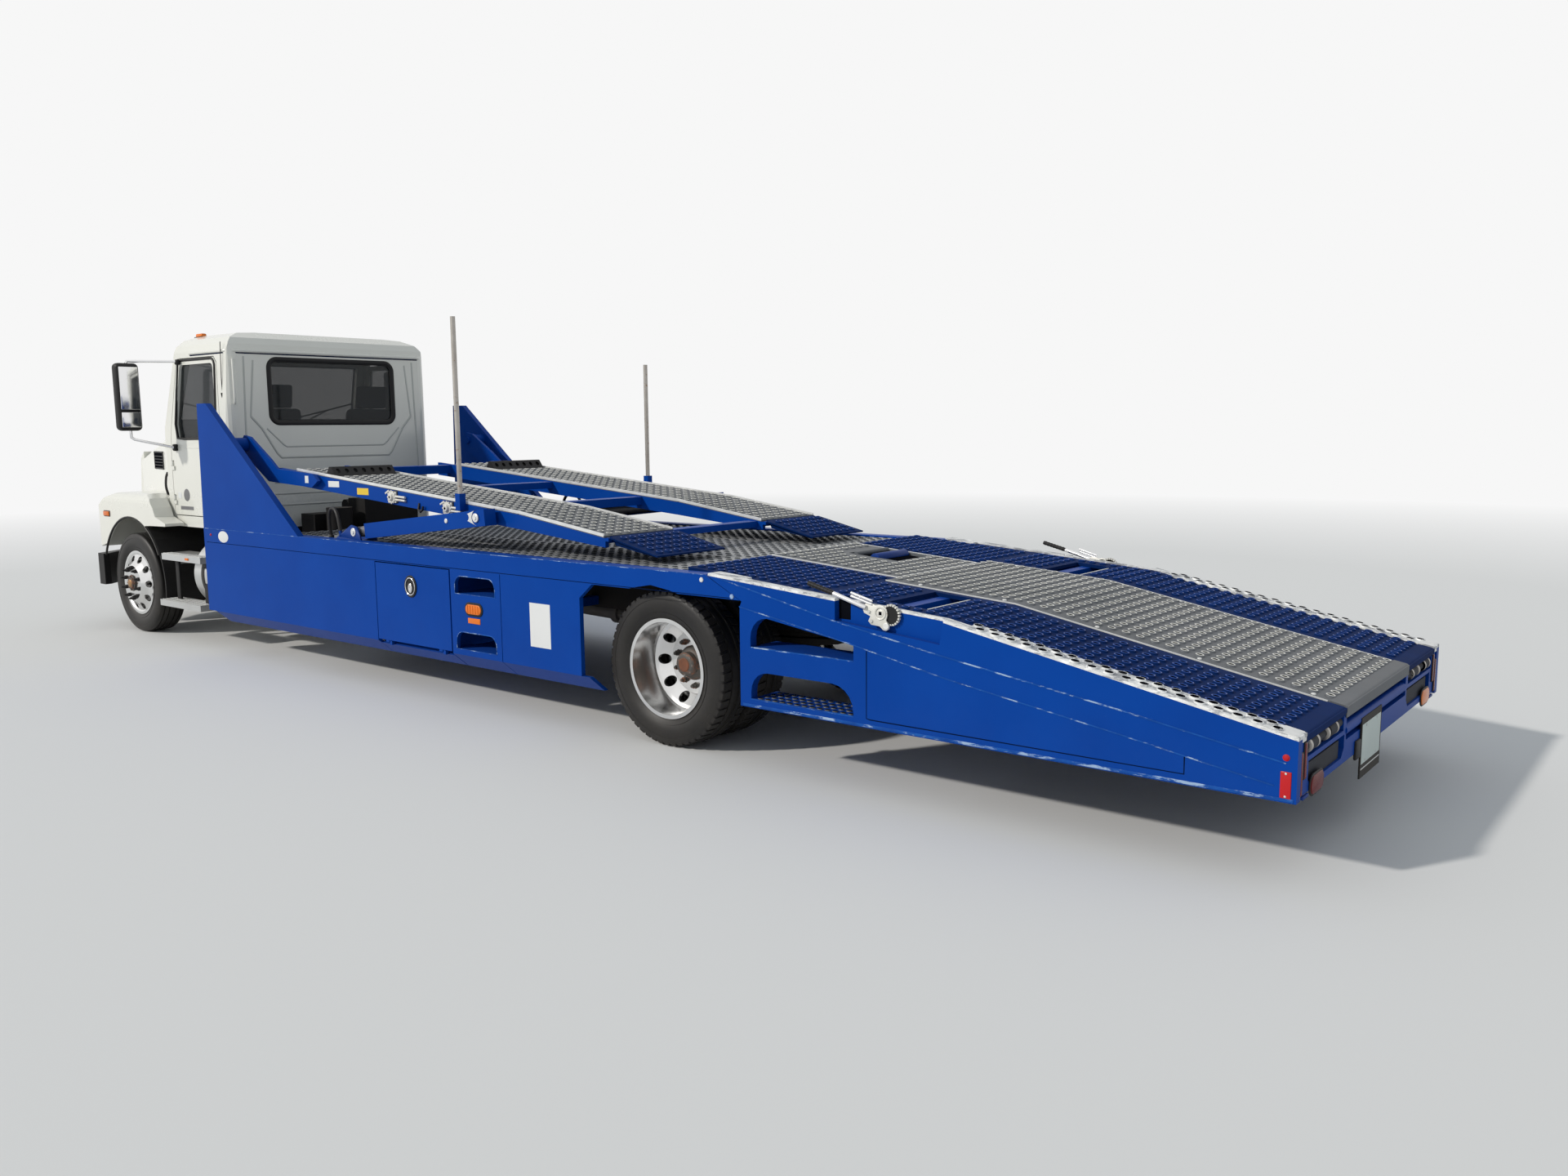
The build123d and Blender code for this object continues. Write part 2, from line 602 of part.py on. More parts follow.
for side, s in sides:
    outer = s * half_width
    # side rail with the fin that carries the upper deck's front pivot
    with BuildPart() as side_rail:
        slab_y([(fin_front_x, rail_bottom), (fin_front_x, rail_top), (rail_apex_x, rail_top),
                (rail_tip_x, rail_bottom), (-215, rail_bottom), (-150, rail_bottom + 14), (0, rail_bottom + 34),
                (120, rail_bottom + 14), (180, rail_bottom)], outer, s * (half_width - rail_width))
        slab_y([(fin_front_x, rail_bottom + 30), (fin_front_x - 30, fin_top), (fin_top_x, fin_top),
                (fin_foot_x, rail_top - 5)], outer, s * (half_width - fin_thick))
        bar((pivot_x, s * (half_width - fin_thick + 5), pivot_z), (pivot_x, s * (gusset_y - 20), pivot_z), pivot_pin)
        bar((pivot_x, s * (half_width - fin_thick + 5), pivot_z),
            (pivot_x, s * (gusset_y + gusset_thick + 6), pivot_z), pivot_pin + 25)
    save(side_rail, f"side_rail_{side}")

    # skirt panels ahead of the rear wheels, their tucked-in lower edge and the tool box
    with BuildPart() as skirt:
        inner = s * (half_width - panel_thick)
        for x_a, x_b in ((fin_front_x, panel_gaps[0]), (panel_gaps[1] - panel_gap, panel_gaps[2]),
                         (panel_gaps[2] - panel_gap, arch_front_x)):
            front_cut = 0 if x_a != fin_front_x else 120
            rear_cut = 70 if x_b == arch_front_x else 0
            slab_y([(x_a, kink_z), (x_a, rail_bottom), (x_b - rear_cut * 1.6, rail_bottom), (x_b, rail_bottom - 90)
                    if rear_cut else (x_b, rail_bottom - 20), (x_b, kink_z)], outer, inner)
            slab_x([(outer, kink_z), (inner, kink_z), (s * (half_width - skirt_tuck - panel_thick), skirt_bottom),
                    (s * (half_width - skirt_tuck), skirt_bottom)], x_b - rear_cut, x_a - front_cut)
        for z_a, z_b in ((777, 901), (402, 522)):
            slab_y([(1420, z_a)] + corner(1420 + step_round, z_b - step_round, step_round, 180, 90)
                   + corner(1850 - step_round, z_b - step_round, step_round, 90, 0) + [(1850, z_a)],
                   outer, inner, mode=Mode.SUBTRACT)
        for z in (777, 402):
            block((1400, 1880), (inner - s * joint_gap, s * (half_width - 330)), (z - 14, z))
        # tool box behind the door
        box_x = (panel_gaps[1] + 20, panel_gaps[0] - 20)
        block(box_x, (inner, s * (half_width - 560)), (390, rail_bottom))
        block((box_x[0] + 5, box_x[1] - 5), (outer, s * (half_width - 555)), (395, rail_bottom - 5), mode=Mode.SUBTRACT)
        slab_x([(s * (half_width - 23), kink_z - 20), (s * (half_width - 45), kink_z - 13), (s * (half_width - 100), 395),
                (s * (half_width - 180), 395), (s * (half_width - skirt_tuck - panel_thick), skirt_bottom),
                (s * (half_width - skirt_tuck), skirt_bottom)], box_x[0] - 15, box_x[1] + 15)
        for x in locker_hinges:
            block((x, x + 25), (s * (locker_hinge_y - 40), s * (locker_hinge_y + 4)), (kink_z - 22, locker_hinge_z + 1))
            bar((x + 5, s * locker_hinge_y, locker_hinge_z), (x + 66, s * locker_hinge_y, locker_hinge_z), locker_pin)
        for x in (panel_gaps[2] + 12, deck_front_x - 250, panel_gaps[0] + 224):
            block((x, x + 80), (inner - s * joint_gap, s * (frame_half + joint_gap)), (640, 700))
    save(skirt, f"skirt_{side}")

    # tool box door, hinged along its lower edge
    with BuildPart() as locker_door:
        block((panel_gaps[1] + door_gap, panel_gaps[0] - door_gap), (outer, s * (half_width - panel_thick + 0.5)),
              (kink_z + 12, rail_bottom - door_gap))
        for x in locker_hinges:
            block((x + 27, x + 64), (s * (locker_hinge_y - 9), s * (locker_hinge_y + 9)),
                  (locker_hinge_z - 9, kink_z + 14))
            bar((x + 20, s * locker_hinge_y, locker_hinge_z), (x + 70, s * locker_hinge_y, locker_hinge_z),
                locker_pin + pivot_gap, mode=Mode.SUBTRACT)
    save(locker_door, f"locker_door_{side}")

    # side plate behind the rear wheels, with the two steps and the winch recess
    with BuildPart() as rear_side:
        slab_y([(arch_rear_x, kink_z), (arch_rear_x, rail_bottom - 35), (arch_rear_x - 14, rail_bottom - 4),
                (curb_front_x - 14, rail_top - 14), (curb_front_x, deck_line(curb_front_x) - 8),
                (break_x, break_top - 8), (tail_x, tail_top - 8),
                (tail_x, tail_bottom), (arch_rear_x, tail_bottom)], outer, s * (half_width - fin_thick))
        slab_y([(-747, 690)] + corner(-862, 741, 115, 0, 90) + [(-1427, 774), (-1427, 691)], outer,
               s * (half_width - fin_thick), mode=Mode.SUBTRACT)
        slab_y([(-749, 406)] + corner(-863, 446, 114, 0, 90) + corner(-1290, 423, 137, 90, 180) + [(-1427, 406)],
               outer, s * (half_width - fin_thick), mode=Mode.SUBTRACT)
        slab_y([(recess_x[1], 888), (recess_x[1], 1100), (recess_x[0] - 20, 1100), (recess_x[0] + 20, 828)],
               outer, s * (half_width - recess_depth), mode=Mode.SUBTRACT)
        for z in (690, 406):
            block((-1440, -740), (s * (half_width - fin_thick - joint_gap), s * (half_width - 230)), (z - 14, z))
            block((-1440, -1426), (s * (half_width - fin_thick - joint_gap), s * (half_width - 230)), (z + joint_gap, z + 70))
    save(rear_side, f"rear_side_{side}")

# Lever winches at the rear recesses: ratchet housing, handle and drum
with BuildPart() as lever_winches:
    for s in (-1, 1):
        face = s * (half_width - recess_depth)
        bar((winch_x, face, winch_z), (winch_x, s * (half_width + 8), winch_z), 45)
        block((winch_x - 30, winch_x + 30), (face, s * (half_width + 2)), (winch_z - 65, winch_z - 20))
        bar((winch_x, s * (half_width + 4), winch_z), (winch_x, s * (half_width + 14), winch_z), 30)
        slab_y([(winch_x - 15, winch_z - 15), (winch_x + 440, winch_z + 100), (winch_x + 437, winch_z + 120),
                (winch_x - 18, winch_z + 10)], s * (half_width + 8), s * (half_width + 22))
save(lever_winches, "lever_winches")

# Upper deck: four beams, cross members and the gussets at the front pivots
beam_line = (upper_front_x, knee_x, upper_rear_x)
beam_drop = {upper_front_x: upper_beam_depth, knee_x: upper_beam_depth - 16, upper_rear_x: upper_beam_end}
beam_outline = ([(x, upper_line(x) - upper_plate) for x in beam_line]
                + [(x, upper_line(x) - upper_plate - beam_drop[x]) for x in reversed(beam_line)])

# Guide poles in their sockets on the outer beams: station, side and height of each top
pole_radius = 17
pole_y = track_outer + 25
pole_table = ((2020, 1, 2616), (2400, -1, 2380))

with BuildPart() as upper_frame:
    for s in (-1, 1):
        slab_y(beam_outline, s * track_outer, s * (track_outer - upper_beam_wall))
        slab_y(beam_outline, s * track_inner, s * (track_inner + upper_beam_wall))
        slab_y([(pivot_x - 980, 1530), (pivot_x - 1050, 1478), (pivot_x - 960, 1425), (pivot_x - 320, 1460),
                (pivot_x + 70, 1690), (pivot_x + 85, 1780), (pivot_x + 30, 1830), (pivot_x - 60, 1815),
                (pivot_x - 350, 1640), (pivot_x - 460, 1562)], s * gusset_y, s * (gusset_y + gusset_thick))
        slab_y([(pivot_x - 980, 1525), (pivot_x - 1020, 1478), (pivot_x - 960, 1435), (pivot_x - 420, 1465),
                (pivot_x - 420, 1562)],
               s * track_outer, s * gusset_y)
        bar((pivot_x, s * (gusset_y - 1), pivot_z), (pivot_x, s * (gusset_y + gusset_thick + 1), pivot_z),
            pivot_pin + pivot_gap, mode=Mode.SUBTRACT)
        bar((strut_head[0], s * track_outer, strut_head[1]),
            (strut_head[0], s * (strut_y - 45), strut_head[1]), 38)
    for x, depth in ((upper_front_x - 160, 80), (2900, 60), (1860, 70), (700, 50)):
        top = upper_line(x) - upper_plate
        slab_y([(x - 35, top - 8), (x + 35, top - 4), (x + 35, top - depth), (x - 35, top - depth)],
               -track_outer + 10, track_outer - 10)
    # hinge pins of the rear flaps
    for s in (-1, 1):
        bar((flap_hinge_x, s * track_inner, flap_hinge_z), (flap_hinge_x, s * track_outer, flap_hinge_z), flap_pin)
        for y in (track_inner, track_outer - upper_beam_wall):
            block((flap_hinge_x - 14, upper_rear_x + 8), (s * y, s * (y + upper_beam_wall)),
                  (flap_hinge_z - 14, flap_hinge_z + 4))
    # sockets of the guide poles
    for x, s, top in pole_table:
        block((x - 25, x + 25), (s * track_outer, s * (track_outer + 50)),
              (upper_line(x) - 55, upper_line(x) + 60))
        bar((x, s * pole_y, upper_line(x) - 30), (x, s * pole_y, upper_line(x) + 70), pole_radius + seat_gap,
            mode=Mode.SUBTRACT)
save(upper_frame, "upper_frame")

with BuildPart() as upper_tracks:
    for s in (-1, 1):
        for x_a, x_b in ((upper_front_x - 260, knee_x + 5), (knee_x - 5, upper_rear_x + 12)):
            slab_y(band(upper_line, (x_a, x_b), 0, -upper_plate), s * track_inner, s * track_outer)
save(upper_tracks, "upper_tracks")

# Wheel stops across the front of the tracks, with the row of holes in their face
stop_x = upper_front_x - 700
stop_holes = 7

with BuildPart() as wheel_stops:
    for s in (-1, 1):
        z = upper_line(stop_x)
        slab_y([(stop_x + 60, upper_line(stop_x + 60)), (stop_x + 25, z + 66), (stop_x - 5, z + 66),
                (stop_x - 60, upper_line(stop_x - 60))], s * 490, s * 1030)
        for i in range(stop_holes):
            y = s * (535 + i * 75)
            bar((stop_x - 90, y, z + 34), (stop_x + 90, y, z + 34), 17, mode=Mode.SUBTRACT)
save(wheel_stops, "wheel_stops")

with BuildPart() as guide_poles:
    for x, s, top in pole_table:
        bar((x, s * pole_y, upper_line(x) - 30), (x, s * pole_y, top), pole_radius)
save(guide_poles, "guide_poles")

# Strap winches under the outer beams
with BuildPart() as strap_winches:
    for s in (-1, 1):
        for x in (2850, 2190):
            z = upper_line(x) - 62
            block((x - 50, x + 50), (s * track_outer, s * (track_outer + 12)), (z - 40, z + 40))
            bar((x, s * track_outer, z), (x, s * (track_outer + 22), z), 30)
save(strap_winches, "strap_winches")

# Lifting struts
strut_dx = strut_head[0] - strut_foot[0]
strut_dz = strut_head[1] - strut_foot[1]
strut_length = hypot(strut_dx, strut_dz)
along = (strut_dx / strut_length, strut_dz / strut_length)
across = (-along[1], along[0])


def strut_point(distance, offset_up=0):
    """point at a distance along the strut from its foot, in station and height"""
    return (strut_foot[0] + along[0] * distance - across[0] * offset_up,
            strut_foot[1] + along[1] * distance - across[1] * offset_up)


# clevis brackets on the side rails and the deck
foot_pin = 20
hose_radius = 13
hose_route = ((strut_foot[0] + 400, 1150, deck_top + 14), (strut_foot[0] + 400, 1160, 1180),
              (strut_foot[0] + 350, 1175, 1270), (strut_foot[0] + 270, 1190, 1275),
              (strut_foot[0] + 205, 1201, 1190), (strut_foot[0] + 180, 1204, 1080))

with BuildPart() as strut_brackets:
    for s in (-1, 1):
        for y_a, y_b, z in ((rail_inner + 2, rail_inner + 16, rail_top), (strut_y - 70, strut_y - 56, deck_top)):
            slab_y([(strut_foot[0] + 240, z), (strut_foot[0] + 30, strut_foot[1] + 52),
                    (strut_foot[0] - 40, strut_foot[1] + 40), (strut_foot[0] - 90, z)], s * y_a, s * y_b)
        bar((strut_foot[0], s * (strut_y - 70), strut_foot[1]),
            (strut_foot[0], s * (rail_inner + 16), strut_foot[1]), foot_pin)
        # hose in an arch from the deck to the bracket
        with BuildLine() as path:
            Spline(*[(x + shift, s * y, z) for x, y, z in hose_route])
        with BuildSketch(Plane(origin=path.line @ 0, z_dir=path.line % 0)) as round_face:
            Circle(hose_radius)
        sweep(round_face.sketch, path=path.line)
        bar((strut_foot[0] + 400, s * 1150, deck_top + joint_gap), (strut_foot[0] + 400, s * 1150, deck_top + 24), 20)
save(strut_brackets, "strut_brackets")

for side, s in sides:
    with BuildPart() as strut_barrel:
        bar((strut_foot[0], s * (strut_y - 40), strut_foot[1]), (strut_foot[0], s * (strut_y + 40), strut_foot[1]), 38)
        start = strut_point(30)
        end = strut_point(strut_barrel_length)
        bar((start[0], s * strut_y, start[1]), (end[0], s * strut_y, end[1]), strut_radius)
        bar((strut_foot[0], s * (strut_y - 60), strut_foot[1]), (strut_foot[0], s * (strut_y + 60), strut_foot[1]),
            foot_pin + pivot_gap, mode=Mode.SUBTRACT)
        start = strut_point(150)
        end = strut_point(strut_barrel_length + 5)
        bar((start[0], s * strut_y, start[1]), (end[0], s * strut_y, end[1]), strut_rod_radius + strut_bore_gap,
            mode=Mode.SUBTRACT)
    save(strut_barrel, f"strut_barrel_{side}")

    # rod, its eye and the channel that shields the strut
    with BuildPart() as strut_sleeve:
        start = strut_point(180)
        end = strut_point(strut_length)
        bar((start[0], s * strut_y, start[1]), (end[0], s * strut_y, end[1]), strut_rod_radius)
        bar((end[0], s * (strut_y - 44), end[1]), (end[0], s * (strut_y + sleeve_width / 2), end[1]), 42)
        up = sleeve_height / 2
        corners = [strut_point(sleeve_start, up), strut_point(strut_length + sleeve_rear, up),
                   strut_point(strut_length + sleeve_rear, -up), strut_point(sleeve_start, -up)]
        slab_y(corners, s * (strut_y - sleeve_width / 2 + 6), s * (strut_y + sleeve_width / 2))
        inside = up - sleeve_wall
        hollow = [strut_point(sleeve_start - 10, inside), strut_point(strut_length - 110, inside),
                  strut_point(strut_length - 110, -inside), strut_point(sleeve_start - 10, -inside)]
        slab_y(hollow, s * (strut_y - sleeve_width / 2), s * (strut_y + sleeve_width / 2 - sleeve_wall),
               mode=Mode.SUBTRACT)
        start = strut_point(180)
        bar((start[0], s * strut_y, start[1]), (end[0], s * strut_y, end[1]), strut_rod_radius)
    save(strut_sleeve, f"strut_sleeve_{side}")

# Flaps at the rear of each track
for side, s in sides:
    with BuildPart() as upper_flap:
        slab_y([(flap_front_x - 6, flap_hinge_z + 13), (flap_tip_x, flap_tip_z), (flap_tip_x, flap_tip_z - 10),
                (flap_front_x - 6, flap_hinge_z + 3)], s * (track_inner + 5), s * (track_outer - 5))
        slab_y([(flap_front_x + 4, flap_hinge_z + 14), (flap_front_x - 10, flap_hinge_z + 12),
                (flap_front_x - 10, flap_hinge_z - 8), (flap_front_x + 4, flap_hinge_z - 8)],
               s * (track_inner + upper_beam_wall + 6), s * (track_outer - upper_beam_wall - 6))
        for y in (track_inner + 40, track_outer - 52):
            slab_y([(flap_front_x, flap_hinge_z - 2), (flap_tip_x + 40, flap_tip_z), (flap_tip_x + 40, flap_tip_z - 16),
                    (flap_front_x - 20, flap_hinge_z - 40)], s * y, s * (y + 12))
        tube = (track_inner + upper_beam_wall + 6, track_outer - upper_beam_wall - 6)
        bar((flap_hinge_x, s * tube[0], flap_hinge_z), (flap_hinge_x, s * tube[1], flap_hinge_z), flap_tube)
        bar((flap_hinge_x, s * track_inner, flap_hinge_z), (flap_hinge_x, s * track_outer, flap_hinge_z),
            flap_pin + pivot_gap, mode=Mode.SUBTRACT)
    save(upper_flap, f"upper_flap_{side}")

# Cab shell: side outline met by the front outline, hollowed, with its windows and door openings cut
cab_side = [(cab_back_x, cab_floor), (cab_back_x, cab_roof - 195), (cab_back_x + 15, cab_roof - 130),
            (cab_back_x + 50, cab_roof - 75), (cab_back_x + 150, cab_roof - 20), (cab_back_x + 420, cab_roof),
            (cab_front_x - 500, cab_roof - 8), (cab_front_x - 320, cab_roof - 55), (cab_front_x - 238, cab_roof - 130),
            windscreen_top, windscreen_base, (cab_front_x, 1905), (cab_front_x, cab_floor)]
cab_half_cross = [(cab_half, cab_floor), (cab_half, 1800), (cab_half - 32, cab_roof - 175),
                  (cab_half - 48, cab_roof - 120), (cab_half - 90, cab_roof - 70), (cab_half - 190, cab_roof - 30),
                  (300, cab_roof)]
cab_cross = [(-y, z) for y, z in cab_half_cross] + list(reversed(cab_half_cross))
cab_corner = 95
cab_plan = ([(cab_front_x + 10, -cab_half)] + corner(cab_back_x + cab_corner, -cab_half + cab_corner, cab_corner, 270, 180)
            + corner(cab_back_x + cab_corner, cab_half - cab_corner, cab_corner, 180, 90)
            + [(cab_front_x + 10, cab_half)])
inner_side = [(cab_back_x + cab_wall, cab_floor + cab_wall), (cab_back_x + cab_wall, cab_roof - 215),
              (cab_back_x + 180, cab_roof - 75), (cab_front_x - 500, cab_roof - 60), (cab_front_x - 350, cab_roof - 105),
              (windscreen_top[0] - 48, cab_roof - 215),
              (windscreen_base[0] - 50, 1910), (cab_front_x - cab_wall, 1880),
              (cab_front_x - cab_wall, cab_floor + cab_wall)]
inner_cross = [(-cab_half + cab_wall, cab_floor), (-cab_half + cab_wall, 1800), (-cab_half + 78, cab_roof - 185),
               (-cab_half + 200, cab_roof - 75), (cab_half - 200, cab_roof - 75), (cab_half - 78, cab_roof - 185),
               (cab_half - cab_wall, 1800), (cab_half - cab_wall, cab_floor)]
door_outline = [(door_rear_x, door_bottom), (door_rear_x, 1750), (door_rear_x + 45, door_top - 50),
                (door_rear_x + 95, door_top), (door_front_x - 120, door_top), (door_front_x - 85, door_top - 35),
                (door_front_x + 40, 1900), (door_front_x + 70, 1600), (door_front_x + 70, door_bottom)]
opening = [(x + (-door_gap if x < cab_front_x - 500 else door_gap), z + (-door_gap if z < 1500 else door_gap))
           for x, z in door_outline]
side_window = ([(door_rear_x + 70, 1840)] + corner(door_rear_x + 150, door_top - 90, 40, 180, 90, 3)
               + corner(door_front_x - 175, door_top - 90, 40, 90, 10, 3)
               + [(door_front_x - 45, 1930), (door_front_x - 80, 1800), (door_front_x - 210, 1795),
                  (door_rear_x + 145, 1800)])
screen_outline = [(-880, 1965), (-845, cab_roof - 255), (845, cab_roof - 255), (880, 1965)]
window_round = 75
window_y = 610
window_z = (1935, cab_roof - 255)
rear_window = (corner(-window_y + window_round, window_z[0] + window_round, window_round, 270, 180)
               + corner(-window_y + window_round, window_z[1] - window_round, window_round, 180, 90)
               + corner(window_y - window_round, window_z[1] - window_round, window_round, 90, 0)
               + corner(window_y - window_round, window_z[0] + window_round, window_round, 0, -90))

with BuildPart() as cab_core:
    slab_y(inner_side, -cab_half, cab_half)
    slab_x(inner_cross, cab_back_x, windscreen_base[0] + 200, mode=Mode.INTERSECT)

with BuildPart() as cab_shell:
    slab_y(cab_side, -cab_half, cab_half)
    slab_x(cab_cross, cab_back_x - 10, windscreen_base[0] + 200, mode=Mode.INTERSECT)
    slab_z(cab_plan, cab_floor, cab_roof + 10, mode=Mode.INTERSECT)
    add(cab_core.part, mode=Mode.SUBTRACT)
    slab_y(opening, -cab_half - 10, -cab_half + door_thick + 60, mode=Mode.SUBTRACT)
    slab_y(opening, cab_half + 10, cab_half - door_thick - 60, mode=Mode.SUBTRACT)
    # rear window
    slab_x(rear_window, cab_back_x - 10, cab_back_x + 80, mode=Mode.SUBTRACT)
    # door hinges: knuckle and pin on the front pillar
    for s in (-1, 1):
        for z in hinge_heights:
            block((door_hinge_x, door_hinge_x + 40), (s * (cab_half - 6), s * (cab_half + 12)), (z, z + 40))
            bar((door_hinge_x, s * cab_half, z), (door_hinge_x, s * cab_half, z + 40), hinge_knuckle)
            bar((door_hinge_x, s * cab_half, z - 38), (door_hinge_x, s * cab_half, z + 40), hinge_pin)
    slab_x(screen_outline, cab_front_x - 300, cab_front_x + 100, mode=Mode.SUBTRACT)
save(cab_shell, "cab_shell")


with BuildPart() as windscreen:
    lean = (windscreen_top[0] - windscreen_base[0]) / (windscreen_top[1] - windscreen_base[1])
    low_x = windscreen_base[0] - 22 + lean * (1900 - windscreen_base[1])
    high_x = windscreen_base[0] - 22 + lean * (cab_roof - 235 - windscreen_base[1])
    slab_y([(low_x, 1900), (high_x, cab_roof - 235), (high_x - 7, cab_roof - 235), (low_x - 7, 1900)], -900, 900)
    slab_x(screen_outline, cab_front_x - 300, cab_front_x + 100, mode=Mode.INTERSECT)

with BuildPart() as cab_glass:
    slab_x(rear_window, cab_back_x + 12, cab_back_x + 18)
    add(windscreen.part)
save(cab_glass, "cab_glass")

# Seats with head rests, and the dashboard with the steering wheel
seat_x = cab_back_x + 245

with BuildPart() as seats:
    for y in (480, -480):
        block((seat_x, seat_x + 500), (y - 250, y + 250), (cab_floor + cab_wall + 260, cab_floor + cab_wall + 400))
        slab_y([(seat_x, 1430), (seat_x - 100, 2050), (seat_x, 2070), (seat_x + 120, 1440)], y - 240, y + 240)
        block((seat_x + 40, seat_x + 420), (y - 180, y + 180), (cab_floor + cab_wall, cab_floor + cab_wall + 260))
        slab_y([(seat_x - 90, 2055), (seat_x - 120, 2270), (seat_x - 30, 2280), (seat_x, 2070)], y - 150, y + 150)
save(seats, "seats")

wheel_x = cab_front_x - 460

with BuildPart() as dashboard:
    slab_y([(cab_front_x - cab_wall, 1540), (cab_front_x - 270, 1590), (cab_front_x - 320, 1720),
            (cab_front_x - 230, 1800), (cab_front_x - 100, 1835), (cab_front_x - cab_wall, 1830)], -885, 885)
    bar((wheel_x + 170, 480, 1680), (wheel_x + 10, 480, 1815), 30)
    with BuildSketch(Plane(origin=(wheel_x + shift, 480, 1825), z_dir=(-160, 0, 135))) as rim:
        Circle(215)
        Circle(185, mode=Mode.SUBTRACT)
        Rectangle(380, 40)
        Circle(60)
    extrude(rim.sketch, amount=14, both=True)
save(dashboard, "dashboard")

# Doors, their glass and the mirrors
mirror_x = cab_front_x - 170
mirror_outline = (corner(1305, 1927, 55, 270, 180, 4) + corner(1305, 2411, 55, 180, 90, 4)
                  + corner(1400, 2411, 55, 90, 0, 4) + corner(1400, 1927, 55, 0, -90, 4))

for side, s in sides:
    with BuildPart() as door:
        slab_y(door_outline, s * cab_half, s * (cab_half - door_thick))
        slab_x([(s * cab_half, door_bottom), (s * cab_half, 1800), (s * (cab_half - 32), cab_roof - 175),
                (s * (cab_half - 32 - door_thick), cab_roof - 175), (s * (cab_half - door_thick), 1800),
                (s * (cab_half - door_thick), door_bottom)], door_rear_x - 10, door_front_x + 100, mode=Mode.INTERSECT)
        slab_y(side_window, s * (cab_half + 5), s * (cab_half - 120), mode=Mode.SUBTRACT)
        for z in hinge_heights:
            block((door_hinge_x - 22, door_hinge_x + 30), (s * (cab_half - 22), s * (cab_half + 30)), (z - 5, z + 45),
                  mode=Mode.SUBTRACT)
            block((door_hinge_x - 40, door_hinge_x), (s * (cab_half - 6), s * (cab_half + 12)), (z - 42, z - 5.3))
            bar((door_hinge_x, s * cab_half, z - 42), (door_hinge_x, s * cab_half, z - 5.3), hinge_knuckle)
            bar((door_hinge_x, s * cab_half, z - 50), (door_hinge_x, s * cab_half, z), hinge_pin + pivot_gap,
                mode=Mode.SUBTRACT)
    save(door, f"door_{side}")

    with BuildPart() as door_glass:
        slab_y(side_window, s * cab_half, s * (cab_half - 100))
        slab_x([(s * (cab_half - 22), 1700), (s * (cab_half - 24), 1800), (s * (cab_half - 54), cab_roof - 175),
                (s * (cab_half - 60), cab_roof - 175), (s * (cab_half - 30), 1800), (s * (cab_half - 28), 1700)],
               door_rear_x, door_front_x + 20, mode=Mode.INTERSECT)
    save(door_glass, f"door_glass_{side}")

    with BuildPart() as mirror:
        slab_x([(s * y, z) for y, z in mirror_outline], mirror_x, mirror_x + 120)
        bar((mirror_x + 60, s * 1345, 2460), (mirror_x + 60, s * 1345, 2498), 15)
        bar((mirror_x + 63, s * 1350, 2480), (mirror_x - 158, s * 985, 2480), 13)
        bar((mirror_x + 60, s * 1345, 1880), (mirror_x + 60, s * 1345, 1785), 15)
        bar((mirror_x + 61, s * 1348, 1799), (mirror_x - 42, s * 1008, 1720), 13)
        block((mirror_x - 65, mirror_x - 15), (s * cab_half, s * (cab_half + 25)), (1690, 1750))
        block((mirror_x - 180, mirror_x - 130), (s * 974, s * 1000), (2455, 2498))
    save(mirror, f"mirror_{side}")

# Hood with its fenders, tilting forward
hood_rear_x = cab_front_x + 14
hood_front_x = front_axle_x + 860
fender_outer = 1190
fender_top = 1300
arch_radius = 610
hood_low = 1040
hood_hinge_x = hood_front_x + 20
hood_hinge_z = 755
hood_pin = 12

with BuildPart() as hood_core:
    with BuildSketch(Plane.YZ.offset(shift + hood_rear_x - 5)) as rear_face:
        with BuildLine():
            Polyline((-930, 900), (-930, 1780), (-790, 1895), (790, 1895), (930, 1780), (930, 900), close=True)
        make_face()
    with BuildSketch(Plane.YZ.offset(shift + hood_front_x - 30)) as front_face:
        with BuildLine():
            Polyline((-640, 900), (-640, 1560), (-540, 1640), (540, 1640), (640, 1560), (640, 900), close=True)
        make_face()
    loft(sections=[rear_face.sketch, front_face.sketch], ruled=True)

fender_round = 85
fender_section = ([(640, 700), (fender_outer, 700)]
                  + corner(fender_outer - fender_round, fender_top - fender_round, fender_round, 0, 90)
                  + [(640, fender_top + 40)])
fender_front = [(hood_front_x + 10, 900), (hood_front_x - 60, 1100), (hood_front_x - 190, fender_outer),
                (cab_front_x - 300, fender_outer)]

with BuildPart() as fenders:
    for s in (-1, 1):
        slab_y([(hood_rear_x, 1260), (front_axle_x - 240, fender_top), (front_axle_x + 350, fender_top),
                (front_axle_x + 560, 1240), (front_axle_x + 700, 1150), (front_axle_x + 790, 1000),
                (front_axle_x + 810, 790), (front_axle_x + 700, 770), (front_axle_x - 300, 1010), (hood_rear_x, 1015)],
               s * 640, s * fender_outer)
        slab_y([(front_axle_x - 690, 1045), (front_axle_x - 500, 1100), (front_axle_x - 460, 1180),
                (hood_rear_x + 1, 1261), (hood_rear_x + 1, 1015), (front_axle_x - 685, 1020)],
               s * (cab_half + hinge_knuckle + 8), s * fender_outer)
    slab_x([(-y, z) for y, z in fender_section] + list(reversed(fender_section)),
           front_axle_x - 700, front_axle_x + 820, mode=Mode.INTERSECT)
    slab_z([(x, -y) for x, y in fender_front] + list(reversed(fender_front)), 700, fender_top + 50, mode=Mode.INTERSECT)

